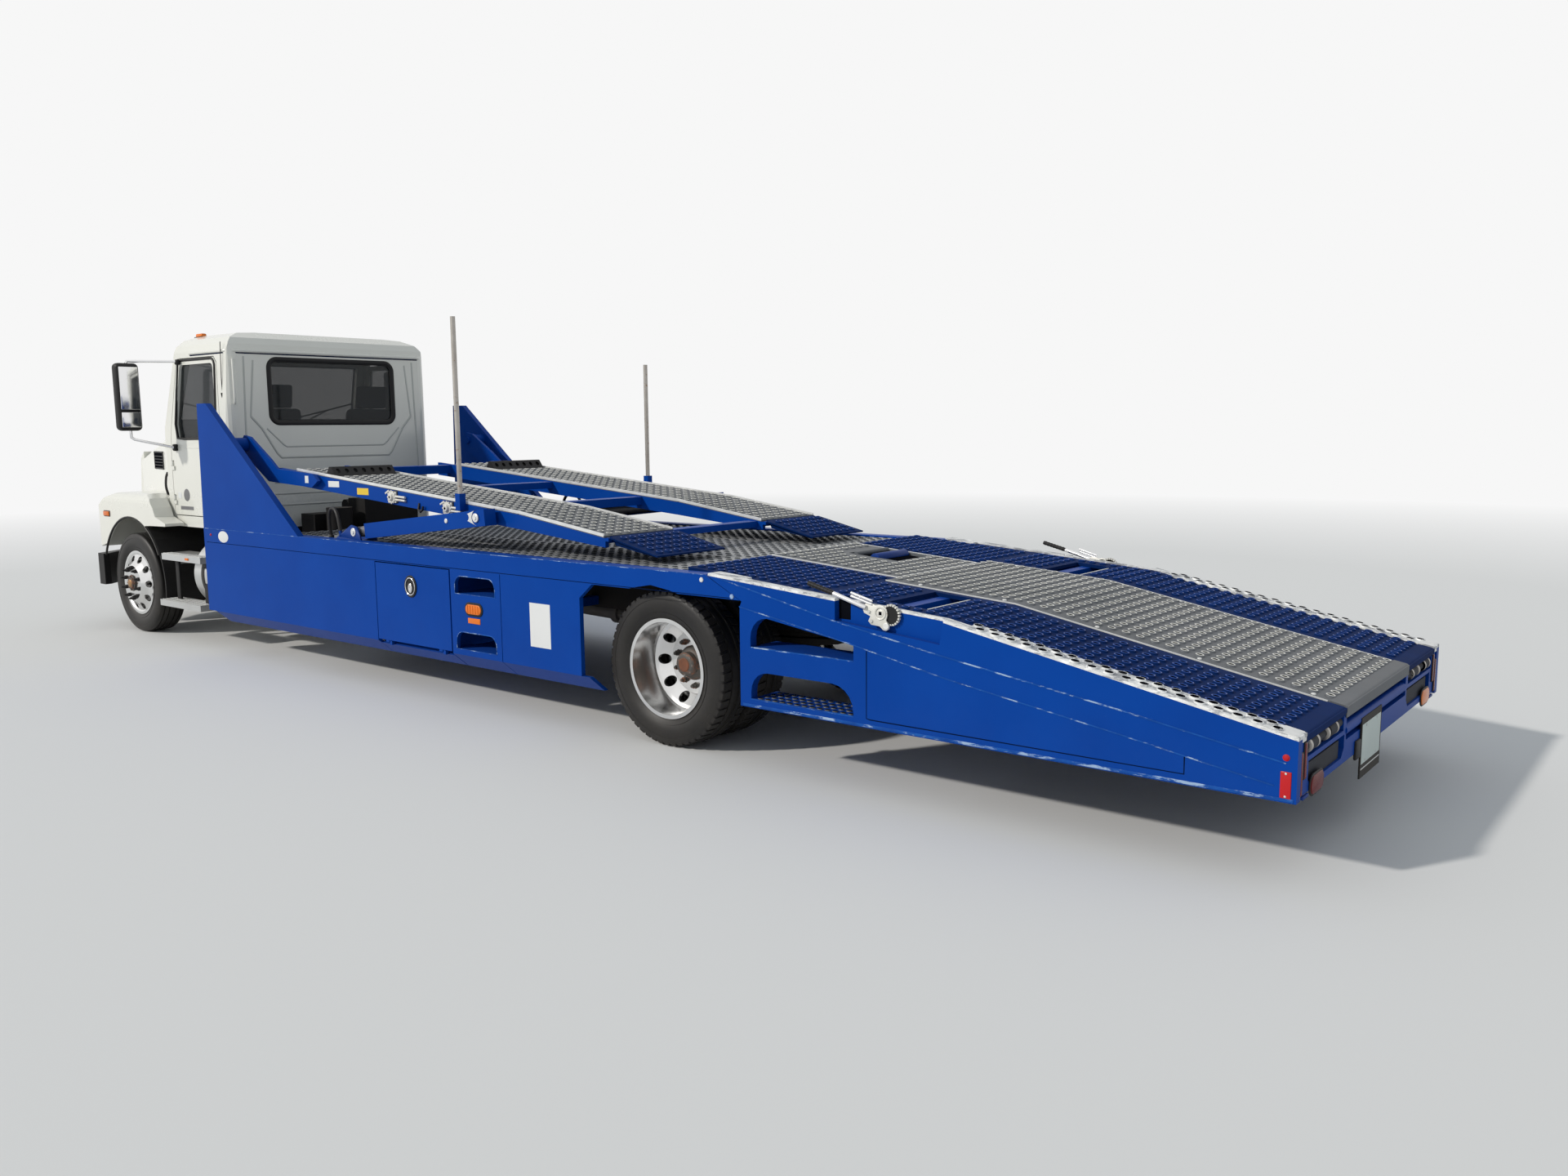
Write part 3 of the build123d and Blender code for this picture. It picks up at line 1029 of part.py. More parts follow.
with BuildPart() as hood:
    with BuildSketch(Plane.YZ.offset(shift + hood_rear_x)) as rear_face:
        with BuildLine():
            Polyline((-960, hood_low), (-960, 1800), (-810, 1930), (810, 1930), (960, 1800), (960, hood_low), close=True)
        make_face()
    with BuildSketch(Plane.YZ.offset(shift + hood_front_x)) as front_face:
        with BuildLine():
            Polyline((-670, hood_low), (-670, 1580), (-560, 1675), (560, 1675), (670, 1580), (670, hood_low), close=True)
        make_face()
    loft(sections=[rear_face.sketch, front_face.sketch], ruled=True)
    # grille nose
    slab_y([(hood_front_x, 790), (hood_front_x + 70, 800), (hood_front_x + 85, 1250), (hood_front_x + 40, 1600),
            (hood_front_x - 30, 1668), (hood_front_x - 30, 790)], -660, 660)
    add(fenders.part)
    add(hood_core.part, mode=Mode.SUBTRACT)
    for s in (-1, 1):
        slab_y([(front_axle_x - 370, 1225), (front_axle_x - 235, fender_top - 45), (front_axle_x + 335, fender_top - 45),
                (front_axle_x + 600, 1120), (front_axle_x + 660, 740), (front_axle_x - 370, 740)],
               s * 600, s * (fender_outer - 22), mode=Mode.SUBTRACT)
        bar((front_axle_x + 30, s * 560, tyre_radius), (front_axle_x + 30, s * (fender_outer + 10), tyre_radius),
            arch_radius, mode=Mode.SUBTRACT)
        block((front_axle_x - 160, front_axle_x + 85), (s * 860, s * 990), (1520, 1665), mode=Mode.SUBTRACT)
        block((hood_front_x - 120, hood_front_x + 20), (s * 760, s * 1100), (880, 1080), mode=Mode.SUBTRACT)
    block((hood_front_x - 60, hood_front_x + 120), (-520, 520), (850, 1540), mode=Mode.SUBTRACT)
    for s in (-1, 1):
        block((hood_hinge_x - 23, hood_hinge_x + 23), (s * 418, s * 438), (hood_hinge_z - 22, 800))
        bar((hood_hinge_x, s * 410, hood_hinge_z), (hood_hinge_x, s * 445, hood_hinge_z), hood_pin + pivot_gap,
            mode=Mode.SUBTRACT)
save(hood, "hood")

# Grille bars and headlamps carried by the hood
with BuildPart() as grille:
    for i in range(9):
        z = 880 + i * 76
        block((hood_front_x + 5, hood_front_x + 45), (-520, 520), (z, z + 30))
    for y in (-505, -170, 170, 505):
        block((hood_front_x + 10, hood_front_x + 30), (y - 15, y + 15), (850, 1540))
save(grille, "grille")

with BuildPart() as headlamps:
    for s in (-1, 1):
        block((hood_front_x - 120, hood_front_x - 88), (s * 762, s * 1095), (882, 1078))
save(headlamps, "headlamps")

# Bumper with its wrapped ends, and the tow eyes
bumper_low = 400
bumper_high = 700
tow_x = nose_x - 130
tow_y = 374
tow_z = 364
tow_thick = 25
tow_hole = 20

with BuildPart() as bumper:
    slab_z([(nose_x, -560), (nose_x, 560), (nose_x - 60, 900), (nose_x - 260, 1190), (nose_x - 380, 1190),
            (nose_x - 370, 1130), (nose_x - 110, 860), (nose_x - 50, 550), (nose_x - 50, -550), (nose_x - 110, -860),
            (nose_x - 370, -1130), (nose_x - 380, -1190), (nose_x - 260, -1190), (nose_x - 60, -900)],
           bumper_low, bumper_high)
    for s in (-1, 1):
        block((frame_front_x, nose_x - 45), (s * 340, s * 432), (frame_low + 20, 700))
        # hinge lug and pin of the hood
        block((hood_hinge_x - 25, hood_hinge_x + 25), (s * 390, s * 412), (690, hood_hinge_z + 25))
        bar((hood_hinge_x, s * 395, hood_hinge_z), (hood_hinge_x, s * 445, hood_hinge_z), hood_pin)
        # tow plate with its eye below the bumper
        block((tow_x - 100, tow_x + 50), (s * tow_y, s * (tow_y + tow_thick)), (325, 660))
        bar((tow_x, s * (tow_y - 5), tow_z), (tow_x, s * (tow_y + tow_thick + 5), tow_z), tow_hole, mode=Mode.SUBTRACT)
save(bumper, "bumper")

# Round fuel tanks and the cab steps ahead of them
tank_radius = 315
tank_y = 850
tank_z = 615
tank_rear_x = front_axle_x - 2280
tank_front_x = front_axle_x - 1120

with BuildPart() as tanks_and_steps:
    for s in (-1, 1):
        bar((tank_rear_x, s * tank_y, tank_z), (tank_front_x, s * tank_y, tank_z), tank_radius)
        for x in (tank_rear_x + 180, tank_rear_x + 630, tank_rear_x + 980):
            block((x - 25, x + 25), (s * (frame_half + joint_gap), s * (tank_y - 200)), (tank_z - 40, tank_z + 60))
        block((tank_front_x - 300, tank_front_x + 410), (s * 1150, s * 1250), (735, 790))
        block((tank_front_x + 10, tank_front_x + 410), (s * 1000, s * 1160), (735, 790))
        block((tank_front_x - 250, tank_front_x + 500), (s * 1060, s * 1250), (315, 370))
        for x in (tank_front_x - 220, tank_front_x + 300):
            block((x, x + 60), (s * 1140, s * 1156), (360, 740))
        block((tank_front_x + 300, tank_front_x + 360), (s * (frame_half + joint_gap), s * 1150), (690, 738))
save(tanks_and_steps, "tanks_and_steps")

# Splash panels that curve behind the front wheels
arch_x = front_axle_x + 30
splash_inner = arch_radius + 7
splash_thick = 15

with BuildPart() as splash_panels:
    for s in (-1, 1):
        slab_y(corner(arch_x, tyre_radius, splash_inner + splash_thick, 122, 192, 9)
               + corner(arch_x, tyre_radius, splash_inner, 192, 122, 9), s * 690, s * (fender_outer - 8))
        block((arch_x - splash_inner - 90, arch_x - splash_inner + 23), (s * (frame_half + joint_gap), s * 760), (640, 690))
save(splash_panels, "splash_panels")

# Lamps and the reflectors at the tail and on the sides
with BuildPart() as tail_lamps:
    for s in (-1, 1):
        block((tail_x, tail_face), (s * 1216, s * 1244), (378, 555))
        block((tail_x, tail_face), (s * 1166, s * 1196), (440, 590))
        block((tail_x, tail_face), (s * 1000, s * 1100), (372, 397))
save(tail_lamps, "tail_lamps")
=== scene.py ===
import json
import math
from functools import partial

import bmesh
import bpy
from mathutils import Matrix, Vector


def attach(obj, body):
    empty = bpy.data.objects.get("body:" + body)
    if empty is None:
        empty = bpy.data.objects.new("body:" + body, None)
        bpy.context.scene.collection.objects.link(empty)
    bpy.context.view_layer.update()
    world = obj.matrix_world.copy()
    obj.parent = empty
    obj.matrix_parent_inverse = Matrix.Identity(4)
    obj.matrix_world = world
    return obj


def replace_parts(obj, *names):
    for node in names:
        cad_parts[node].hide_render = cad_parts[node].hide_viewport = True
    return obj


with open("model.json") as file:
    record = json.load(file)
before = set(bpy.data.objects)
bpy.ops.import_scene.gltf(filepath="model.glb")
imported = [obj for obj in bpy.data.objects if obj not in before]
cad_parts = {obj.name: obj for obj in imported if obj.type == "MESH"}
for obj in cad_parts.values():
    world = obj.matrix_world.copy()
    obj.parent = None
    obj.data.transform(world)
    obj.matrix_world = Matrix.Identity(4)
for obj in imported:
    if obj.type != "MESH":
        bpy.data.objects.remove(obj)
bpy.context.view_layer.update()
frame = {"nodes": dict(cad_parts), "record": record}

nodes = frame["nodes"]

# Stations are metres ahead of the rear axle, as in the part's source
rear_overhang = 3.585
wheelbase = 6.9
front_overhang = 1.03
shift = (rear_overhang - wheelbase - front_overhang) / 2
tail = -rear_overhang
# height of the wheels' centres, and half the body's width
axle = 0.465
half = 1.295
# y points to the left
hands = ((1, "left"), (-1, "right"))


# ---------------------------------------------------------------- small helpers
def deselect():
    if bpy.context.object and bpy.context.object.mode != "OBJECT":
        bpy.ops.object.mode_set(mode="OBJECT")
    bpy.ops.object.select_all(action="DESELECT")


def pick(*pieces):
    deselect()
    for piece in pieces:
        piece.select_set(True)
    bpy.context.view_layer.objects.active = pieces[0]


def settle(piece):
    """puts a piece's place into its mesh"""
    pick(piece)
    bpy.ops.object.transform_apply(location=True, rotation=True, scale=True)
    return piece


def harden(piece):
    """applies a piece's modifiers"""
    pick(piece)
    for modifier in list(piece.modifiers):
        bpy.ops.object.modifier_apply(modifier=modifier.name)
    return piece


def smooth(piece, degrees=35):
    pick(piece)
    bpy.ops.object.shade_smooth_by_angle(angle=math.radians(degrees))
    return piece


def edited(piece, *jobs):
    """runs mesh operators with their options, each on the whole piece"""
    pick(piece)
    bpy.ops.object.mode_set(mode="EDIT")
    for job, options in jobs:
        bpy.ops.mesh.select_all(action="SELECT")
        job(**options)
    bpy.ops.object.mode_set(mode="OBJECT")
    return piece


def merge(threshold):
    """job for edited: merges corners that are closer than the threshold"""
    return bpy.ops.mesh.remove_doubles, {"threshold": threshold}


face_out = (bpy.ops.mesh.normals_make_consistent, {"inside": False})


def outward(piece):
    """merges doubles and turns the faces outwards"""
    return edited(piece, merge(0.00005), face_out)


def joined(name, pieces):
    pick(*pieces)
    if len(pieces) > 1:
        bpy.ops.object.join()
    piece = bpy.context.view_layer.objects.active
    piece.name = name
    return piece


def fit(piece, body):
    """gives a piece a body to ride on"""
    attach(piece, body)
    return piece


def put(piece, look, body="chassis"):
    """gives a whole piece the material of one look, and a body"""
    piece.data.materials.clear()
    piece.data.materials.append(look[0])
    return fit(piece, body)


def copied(piece):
    copy = piece.copy()
    copy.data = piece.data.copy()
    bpy.context.scene.collection.objects.link(copy)
    return copy


def mesh_piece(name, points, edges, faces):
    mesh = bpy.data.meshes.new(name)
    piece = bpy.data.objects.new(name, mesh)
    bpy.context.scene.collection.objects.link(piece)
    mesh.from_pydata(points, edges, faces)
    return piece


def rounded(piece, width, steps, degrees=30):
    """rounds the edges that turn by more than some degrees"""
    if width:
        modifier = piece.modifiers.new("round", "BEVEL")
        modifier.width = width
        modifier.segments = steps
        modifier.limit_method = "ANGLE"
        modifier.angle_limit = math.radians(degrees)
        harden(piece)
    return piece


def cube(name, middle, size):
    deselect()
    bpy.ops.mesh.primitive_cube_add(size=1, location=middle)
    piece = bpy.context.object
    piece.name = name
    piece.scale = size
    return settle(piece)


def span(s, low, high):
    """range in y, given for the left, on side s"""
    return sorted((s * low, s * high))


def box(name, extent, bevel=0.004, steps=2, s=0):
    """box with rounded edges from (x, x, y, y, z, z); with s it is the left or right one of a pair"""
    low, high = Vector(extent[::2]), Vector(extent[1::2])
    if s:
        low.y, high.y = span(s, extent[2], extent[3])
        name += "_left" if s > 0 else "_right"
    size = [abs(b - a) for a, b in zip(low, high)]
    piece = cube(name, (low + high) / 2 + Vector((shift, 0, 0)), size)
    return smooth(rounded(piece, min(bevel, min(size) * 0.45), steps))


def rod(name, start, end, radius, sides=20, bevel=0.0):
    """round bar between two points, its station in x"""
    start = Vector(start) + Vector((shift, 0, 0))
    end = Vector(end) + Vector((shift, 0, 0))
    run = end - start
    deselect()
    bpy.ops.mesh.primitive_cylinder_add(vertices=sides, radius=radius, depth=run.length, location=(start + end) / 2,
                                        rotation=run.to_track_quat("Z", "Y").to_euler())
    piece = bpy.context.object
    piece.name = name
    return smooth(rounded(settle(piece), bevel, 2, 50), 40)


def plate(name, outline, low_y, high_y, bevel, steps=2):
    """flat plate with its outline in station and height, between two y"""
    piece = mesh_piece(name, [(x + shift, low_y, z) for x, z in outline], [], [list(range(len(outline)))])
    move = {"TRANSFORM_OT_translate": {"value": (0, high_y - low_y, 0)}}
    edited(piece, (bpy.ops.mesh.extrude_region_move, move), face_out)
    return smooth(rounded(piece, bevel, steps))


def turned(name, profile, x, y, z, s, steps):
    """profile of (outward, radius) points spun about a wheel's axis"""
    piece = mesh_piece(name, [(0, s * out, radius) for out, radius in profile],
                       [(i, i + 1) for i in range(len(profile) - 1)], [])
    spin = {"steps": steps, "angle": math.tau, "center": (0, 0, 0), "axis": (0, 1, 0)}
    edited(piece, (bpy.ops.mesh.spin, spin), merge(0.0001), face_out)
    piece.location = (x + shift, s * y, z)
    return smooth(settle(piece), 32)


def aimed(name, profile, place, axis, angle, steps, s=1):
    """turned piece whose axis is swung from y to another way, at a place in station, y and height"""
    piece = turned(name, profile, -shift, 0, 0, s, steps)
    piece.data.transform(Matrix.Translation((place[0] + shift, *place[1:])) @ Matrix.Rotation(angle, 4, axis))
    return piece


def swing(angle, axis, x, y=0, z=0):
    """turn about an axis through a place in station, y and height"""
    centre = Vector((x + shift, y, z))
    return Matrix.Translation(centre) @ Matrix.Rotation(angle, 4, axis) @ Matrix.Translation(-centre)


def wreath(piece, count, x, y, z, name):
    """copies a piece round an axis along y and joins the copies"""
    copies = [piece]
    for i in range(1, count):
        copies.append(copied(piece))
        copies[-1].data.transform(swing(math.tau * i / count, "Y", x, y, z))
    return joined(name, copies)


def mirrored(piece, name):
    """copy of a piece on the other side of the truck"""
    copy = copied(piece)
    copy.name = name
    copy.parent = None
    copy.scale = (1, -1, 1)
    return edited(settle(copy), (bpy.ops.mesh.flip_normals, {}))


def both(piece, look, body="chassis", other=None):
    """gives one look to a left piece and its copy on the right"""
    twin = mirrored(piece, piece.name + "_right")
    piece.name += "_left"
    put(piece, look, body)
    put(twin, look, other or body)
    return piece, twin


def tube(name, points, radius, closed=False, squeeze=None, sides=4, bends=False, s=1):
    """round tube along points given in station, y and height; squeeze flattens it along one axis"""
    line = bpy.data.curves.new(name, "CURVE")
    line.dimensions = "3D"
    line.bevel_depth = radius
    line.bevel_resolution = sides
    line.use_fill_caps = not closed
    spline = line.splines.new("BEZIER" if bends else "POLY")
    knots = spline.bezier_points if bends else spline.points
    knots.add(len(points) - 1)
    for knot, (x, y, z) in zip(knots, points):
        if bends:
            knot.co = (x + shift, s * y, z)
            knot.handle_left_type = knot.handle_right_type = "AUTO"
        else:
            knot.co = (x + shift, s * y, z, 1)
    spline.use_cyclic_u = closed
    piece = bpy.data.objects.new(name, line)
    bpy.context.scene.collection.objects.link(piece)
    pick(piece)
    bpy.ops.object.convert(target="MESH")
    piece = bpy.context.object
    if squeeze:
        axis, middle, amount = squeeze
        for vertex in piece.data.vertices:
            vertex.co[axis] = middle + (vertex.co[axis] - middle) * amount
    return smooth(piece, 50)


def arc(x, z, radius, start, end, steps):
    """points in station and height on an arc"""
    return [(x + radius * math.cos(math.radians(start + (end - start) * i / steps)),
             z + radius * math.sin(math.radians(start + (end - start) * i / steps))) for i in range(steps + 1)]


def strip(name, line, width, inside, outside, bevel=0.0006):
    """narrow strip along the body's side"""
    outline = [(x, z + width / 2) for x, z in line] + [(x, z - width / 2) for x, z in reversed(line)]
    return plate(name, outline, half - inside, half + outside, bevel, 1)


# ---------------------------------------------------------------- shared effects
def node(tree, kind, **values):
    """new node of a kind; the values go to its inputs or its settings"""
    made = tree.nodes.new(kind)
    for key, value in values.items():
        if key in made.inputs:
            made.inputs[key].default_value = value
        else:
            setattr(made, key, value)
    return made


def maths(tree, operation, a, b=None, clamp=False):
    """maths node on numbers or sockets; gives its result"""
    made = node(tree, "ShaderNodeMath", operation=operation, use_clamp=clamp)
    for socket, value in zip(made.inputs, (a, b)):
        if isinstance(value, (int, float)):
            socket.default_value = value
        elif value is not None:
            tree.links.new(value, socket)
    return made.outputs[0]


def blend_colour(tree, factor, a, b):
    """mix of two colours; the node's colour sockets are its inputs 6 and 7 and its output 2"""
    made = node(tree, "ShaderNodeMix", data_type="RGBA")
    for index, value in ((0, factor), (6, a), (7, b)):
        tree.links.new(value, made.inputs[index])
    return made.outputs[2]


def noise(tree, place, **values):
    """noise texture that is read at a place"""
    made = node(tree, "ShaderNodeTexNoise", **values)
    tree.links.new(place, made.inputs["Vector"])
    return made


def new_group(name, inputs, outputs):
    """node group; gives its tree, what comes in, maths in that tree, and the object's own coordinates"""
    group = bpy.data.node_groups.new(name, "ShaderNodeTree")
    for title, value in inputs.items():
        kind = "NodeSocketColor" if isinstance(value, tuple) else "NodeSocketFloat"
        group.interface.new_socket(name=title, in_out="INPUT", socket_type=kind).default_value = value
    for title in outputs:
        kind = "NodeSocketColor" if title == "Colour" else "NodeSocketFloat"
        group.interface.new_socket(name=title, in_out="OUTPUT", socket_type=kind)
    return group, group.nodes.new("NodeGroupInput").outputs, partial(maths, group), \
        node(group, "ShaderNodeTexCoord").outputs["Object"]


def give(group, **results):
    """links results to a group's outputs"""
    out = group.nodes.new("NodeGroupOutput")
    for title, socket in results.items():
        group.links.new(socket, out.inputs[title])
    return group


mid_grey = (0.5, 0.5, 0.5, 1)


def build_dust():
    """road dust: patchy, thicker near the ground and on faces that look up"""
    group, given, calc, place = new_group("road_dust", {
        "Colour": mid_grey, "Dust": (0.36, 0.31, 0.25, 1), "Roughness": 0.4, "Amount": 0.3, "Low height": 0.9,
        "On top": 0.2}, ("Colour", "Roughness", "Mask"))
    split, face = (node(group, "ShaderNodeSeparateXYZ") for _ in range(2))
    group.links.new(place, split.inputs[0])
    group.links.new(node(group, "ShaderNodeNewGeometry").outputs["Normal"], face.inputs[0])
    low = calc("MULTIPLY", calc("SUBTRACT", given["Low height"], split.outputs["Z"]), 0.9, clamp=True)
    top = calc("MULTIPLY", calc("MAXIMUM", face.outputs["Z"], 0.0), given["On top"])
    base = calc("ADD", calc("MULTIPLY", low, given["Amount"]), top)
    patches = noise(group, place, Scale=3.1, Detail=6.0, Roughness=0.62)
    fine = noise(group, place, Scale=46.0, Detail=3.0, Roughness=0.6)
    spread = calc("ADD", calc("MULTIPLY", patches.outputs["Fac"], 1.3), -0.15)
    grain = calc("ADD", calc("MULTIPLY", fine.outputs["Fac"], 0.8), 0.6)
    mask = calc("MULTIPLY", calc("MULTIPLY", base, spread), grain, clamp=True)
    return give(group, Colour=blend_colour(group, mask, given["Colour"], given["Dust"]), Mask=mask,
                Roughness=calc("ADD", given["Roughness"], calc("MULTIPLY", mask, 0.5), clamp=True))


def build_wear():
    """scuffs and small chips that show a second colour"""
    group, given, calc, place = new_group("scuffs", {
        "Colour": mid_grey, "Bare": (0.6, 0.6, 0.6, 1), "Roughness": 0.4, "Amount": 0.3, "Scale": 1.0},
        ("Colour", "Roughness", "Mask"))
    stretch = node(group, "ShaderNodeMapping", Scale=(4.0, 14.0, 14.0))
    group.links.new(place, stretch.inputs["Vector"])
    scratch = noise(group, stretch.outputs["Vector"], Detail=8.0, Roughness=0.72)
    group.links.new(calc("MULTIPLY", given["Scale"], 1.6), scratch.inputs["Scale"])
    chips = node(group, "ShaderNodeTexVoronoi")
    group.links.new(place, chips.inputs["Vector"])
    group.links.new(calc("MULTIPLY", given["Scale"], 23.0), chips.inputs["Scale"])
    near = calc("LESS_THAN", chips.outputs["Distance"], 0.085)
    sparse = noise(group, place, Scale=2.2, Detail=2.0)
    chip = calc("MULTIPLY", near, calc("GREATER_THAN", sparse.outputs["Fac"], 0.56))
    threshold = calc("SUBTRACT", 0.74, calc("MULTIPLY", given["Amount"], 0.3))
    scratches = calc("MULTIPLY", calc("SUBTRACT", scratch.outputs["Fac"], threshold), 14.0, clamp=True)
    mask = calc("MAXIMUM", scratches, calc("MULTIPLY", chip, given["Amount"]), clamp=True)
    return give(group, Colour=blend_colour(group, mask, given["Colour"], given["Bare"]), Mask=mask,
                Roughness=calc("ADD", given["Roughness"], calc("MULTIPLY", mask, 0.15), clamp=True))


def build_tone():
    """slow colour change over a surface"""
    group, given, calc, place = new_group("tone", {"Colour": mid_grey, "Deeper": (0.4, 0.4, 0.4, 1), "Scale": 2.0},
                                          ("Colour", "Mask"))
    cloud = noise(group, place, Detail=5.0, Roughness=0.55)
    group.links.new(given["Scale"], cloud.inputs["Scale"])
    mask = calc("MULTIPLY", calc("SUBTRACT", cloud.outputs["Fac"], 0.3), 2.2, clamp=True)
    return give(group, Colour=blend_colour(group, mask, given["Colour"], given["Deeper"]), Mask=mask)


def build_grain():
    """bump height of fine grain, for cast, rubber, galvanised and orange-peel faces"""
    group, given, calc, place = new_group("grain", {"Scale": 300.0, "Coarse": 12.0}, ("Height",))
    fine = noise(group, place, Detail=3.0, Roughness=0.6)
    coarse = noise(group, place, Detail=2.0)
    group.links.new(given["Scale"], fine.inputs["Scale"])
    group.links.new(given["Coarse"], coarse.inputs["Scale"])
    return give(group, Height=calc("ADD", calc("MULTIPLY", fine.outputs["Fac"], 0.4), coarse.outputs["Fac"]))


dust_group = build_dust()
wear_group = build_wear()
tone_group = build_tone()
grain_group = build_grain()


def effect(tree, group, values):
    """one use of a shared effect"""
    made = node(tree, "ShaderNodeGroup", node_tree=group)
    for title, value in values.items():
        made.inputs[title].default_value = value
    return made


def new_material(name, values):
    material = bpy.data.materials.new(name)
    material.use_nodes = True
    shader = material.node_tree.nodes["Principled BSDF"]
    for title, value in values.items():
        shader.inputs[title].default_value = value
    return material, material.node_tree, shader


def finish(name, colour, deeper, rough=0.4, metal=0.0, coat=0.0, dust=0.2, low=0.9, top=0.15, scuffs=0.0,
           bare=(0.6, 0.6, 0.62), bump=0.15, grain=300.0, coarse=12.0, scale=2.0, dust_colour=(0.36, 0.31, 0.25),
           specular=0.5):
    """material built from the shared effects: tone, scuffs, dust and grain"""
    material, tree, shader = new_material(name, {"Metallic": metal, "Specular IOR Level": specular,
                                                 "Coat Weight": coat, "Coat Roughness": 0.08})
    tone = effect(tree, tone_group, {"Colour": (*colour, 1), "Deeper": (*deeper, 1), "Scale": scale})
    dirt = effect(tree, dust_group, {"Dust": (*dust_colour, 1), "Roughness": rough, "Amount": dust,
                                     "Low height": low, "On top": top})
    last = tone
    if scuffs:
        last = effect(tree, wear_group, {"Bare": (*bare, 1), "Roughness": rough, "Amount": scuffs})
        tree.links.new(tone.outputs["Colour"], last.inputs["Colour"])
        tree.links.new(last.outputs["Roughness"], dirt.inputs["Roughness"])
    tree.links.new(last.outputs["Colour"], dirt.inputs["Colour"])
    tree.links.new(dirt.outputs["Colour"], shader.inputs["Base Color"])
    tree.links.new(dirt.outputs["Roughness"], shader.inputs["Roughness"])
    if bump:
        relief = effect(tree, grain_group, {"Scale": grain, "Coarse": coarse})
        bumps = node(tree, "ShaderNodeBump", Strength=bump, Distance=0.002)
        tree.links.new(relief.outputs["Height"], bumps.inputs["Height"])
        tree.links.new(bumps.outputs["Normal"], shader.inputs["Normal"])
    return material


body_blue = finish("body_blue", (0.0015, 0.052, 0.31), (0.001, 0.043, 0.27), rough=0.36, specular=0.05, dust=0.03,
                   top=0.03, scuffs=0.1, bare=(0.03, 0.12, 0.42), bump=0.03, coarse=9.0)
deck_blue = finish("deck_blue", (0.003, 0.021, 0.105), (0.002, 0.014, 0.07), rough=0.6, specular=0.02, dust=0.02,
                   top=0.01, scuffs=0.2, bare=(0.02, 0.06, 0.2), bump=0.1)
frame_blue = finish("frame_blue", (0.002, 0.04, 0.24), (0.0015, 0.03, 0.18), rough=0.42, specular=0.1, dust=0.14,
                    low=1.0, top=0.06, scuffs=0.15, bare=(0.06, 0.1, 0.18), bump=0.06)
cab_white = finish("cab_white", (0.74, 0.74, 0.68), (0.7, 0.7, 0.64), rough=0.26, coat=0.5, dust=0.18, low=1.6,
                   top=0.06, bump=0.02, scale=1.2)
grip_grey = finish("grip_grey", (0.13, 0.14, 0.155), (0.1, 0.11, 0.12), rough=0.55, metal=0.2, specular=0.2, dust=0.1,
                   top=0.1, scuffs=0.3, bare=(0.26, 0.27, 0.28))
zinc = finish("zinc", (0.62, 0.63, 0.62), (0.5, 0.51, 0.51), rough=0.42, metal=0.55, dust=0.15, scuffs=0.2,
              bare=(0.75, 0.75, 0.74), bump=0.3, grain=140.0, coarse=30.0, scale=9.0)
# lighter crests of the buttons: painted highlight; on the grey plates partly worn bare steel too
crest_steel = finish("crest_steel", (0.78, 0.77, 0.72), (0.6, 0.6, 0.56), rough=0.3, metal=0.45, dust=0.05, top=0.02,
                     bump=0.1)
crest_blue = finish("crest_blue", (0.016, 0.075, 0.34), (0.01, 0.05, 0.25), rough=0.35, specular=0.25, dust=0.05,
                    top=0.05, bump=0.05)
# near-black for holes, recesses and openings: painted shade
hole_dark = finish("hole_dark", (0.006, 0.007, 0.01), (0.003, 0.003, 0.005), rough=0.9, dust=0.0, top=0.0, bump=0.0,
                   specular=0.0)
polished = finish("polished_alloy", (0.82, 0.82, 0.82), (0.72, 0.72, 0.71), rough=0.16, metal=1.0, dust=0.12, top=0.05,
                  bump=0.05, grain=500.0, scale=6.0)
brushed = finish("brushed_alloy", (0.68, 0.69, 0.69), (0.56, 0.57, 0.57), rough=0.3, metal=0.9, dust=0.3, low=1.0,
                 top=0.25, scuffs=0.2, bump=0.12)
rubber = finish("tyre_rubber", (0.008, 0.008, 0.009), (0.014, 0.013, 0.012), rough=0.45, dust=0.1, low=1.2, top=0.02,
                specular=0.3, bump=0.2, grain=220.0, coarse=40.0, scale=7.0, dust_colour=(0.22, 0.19, 0.155))
black_plastic = finish("black_plastic", (0.009, 0.009, 0.01), (0.014, 0.014, 0.015), rough=0.5, dust=0.08, low=1.2,
                       top=0.03, bump=0.25, specular=0.22, grain=420.0, dust_colour=(0.2, 0.175, 0.145))
chassis_black = finish("chassis_black", (0.012, 0.012, 0.013), (0.018, 0.017, 0.016), rough=0.55, dust=0.25, low=1.3,
                       specular=0.15, top=0.2, scuffs=0.2, bare=(0.1, 0.06, 0.035), bump=0.25,
                       dust_colour=(0.17, 0.145, 0.115))
engine_iron = finish("engine_iron", (0.13, 0.13, 0.14), (0.09, 0.085, 0.08), rough=0.6, metal=0.3, dust=0.5, low=1.4,
                     top=0.2, scuffs=0.3, bare=(0.16, 0.1, 0.06), bump=0.5, coarse=25.0)
rust = finish("hub_rust", (0.22, 0.075, 0.035), (0.1, 0.045, 0.03), rough=0.75, specular=0.2, bump=0.4, scale=14.0)
hub_iron = finish("hub_iron", (0.07, 0.066, 0.062), (0.04, 0.038, 0.036), rough=0.55, metal=0.3, scuffs=0.7,
                  bare=(0.22, 0.09, 0.05), bump=0.5, grain=160.0, coarse=50.0, scale=12.0)
ramp_steel = finish("ramp_steel", (0.03, 0.034, 0.045), (0.02, 0.022, 0.03), rough=0.6, specular=0.1, dust=0.1,
                    bump=0.2)
# darker copy of the cab's white for the ribs on its back: painted shade along the pressings
cab_shade = finish("cab_shade", (0.5, 0.51, 0.48), (0.45, 0.46, 0.43), rough=0.35, dust=0.1, low=1.6, top=0.0,
                   bump=0.02)
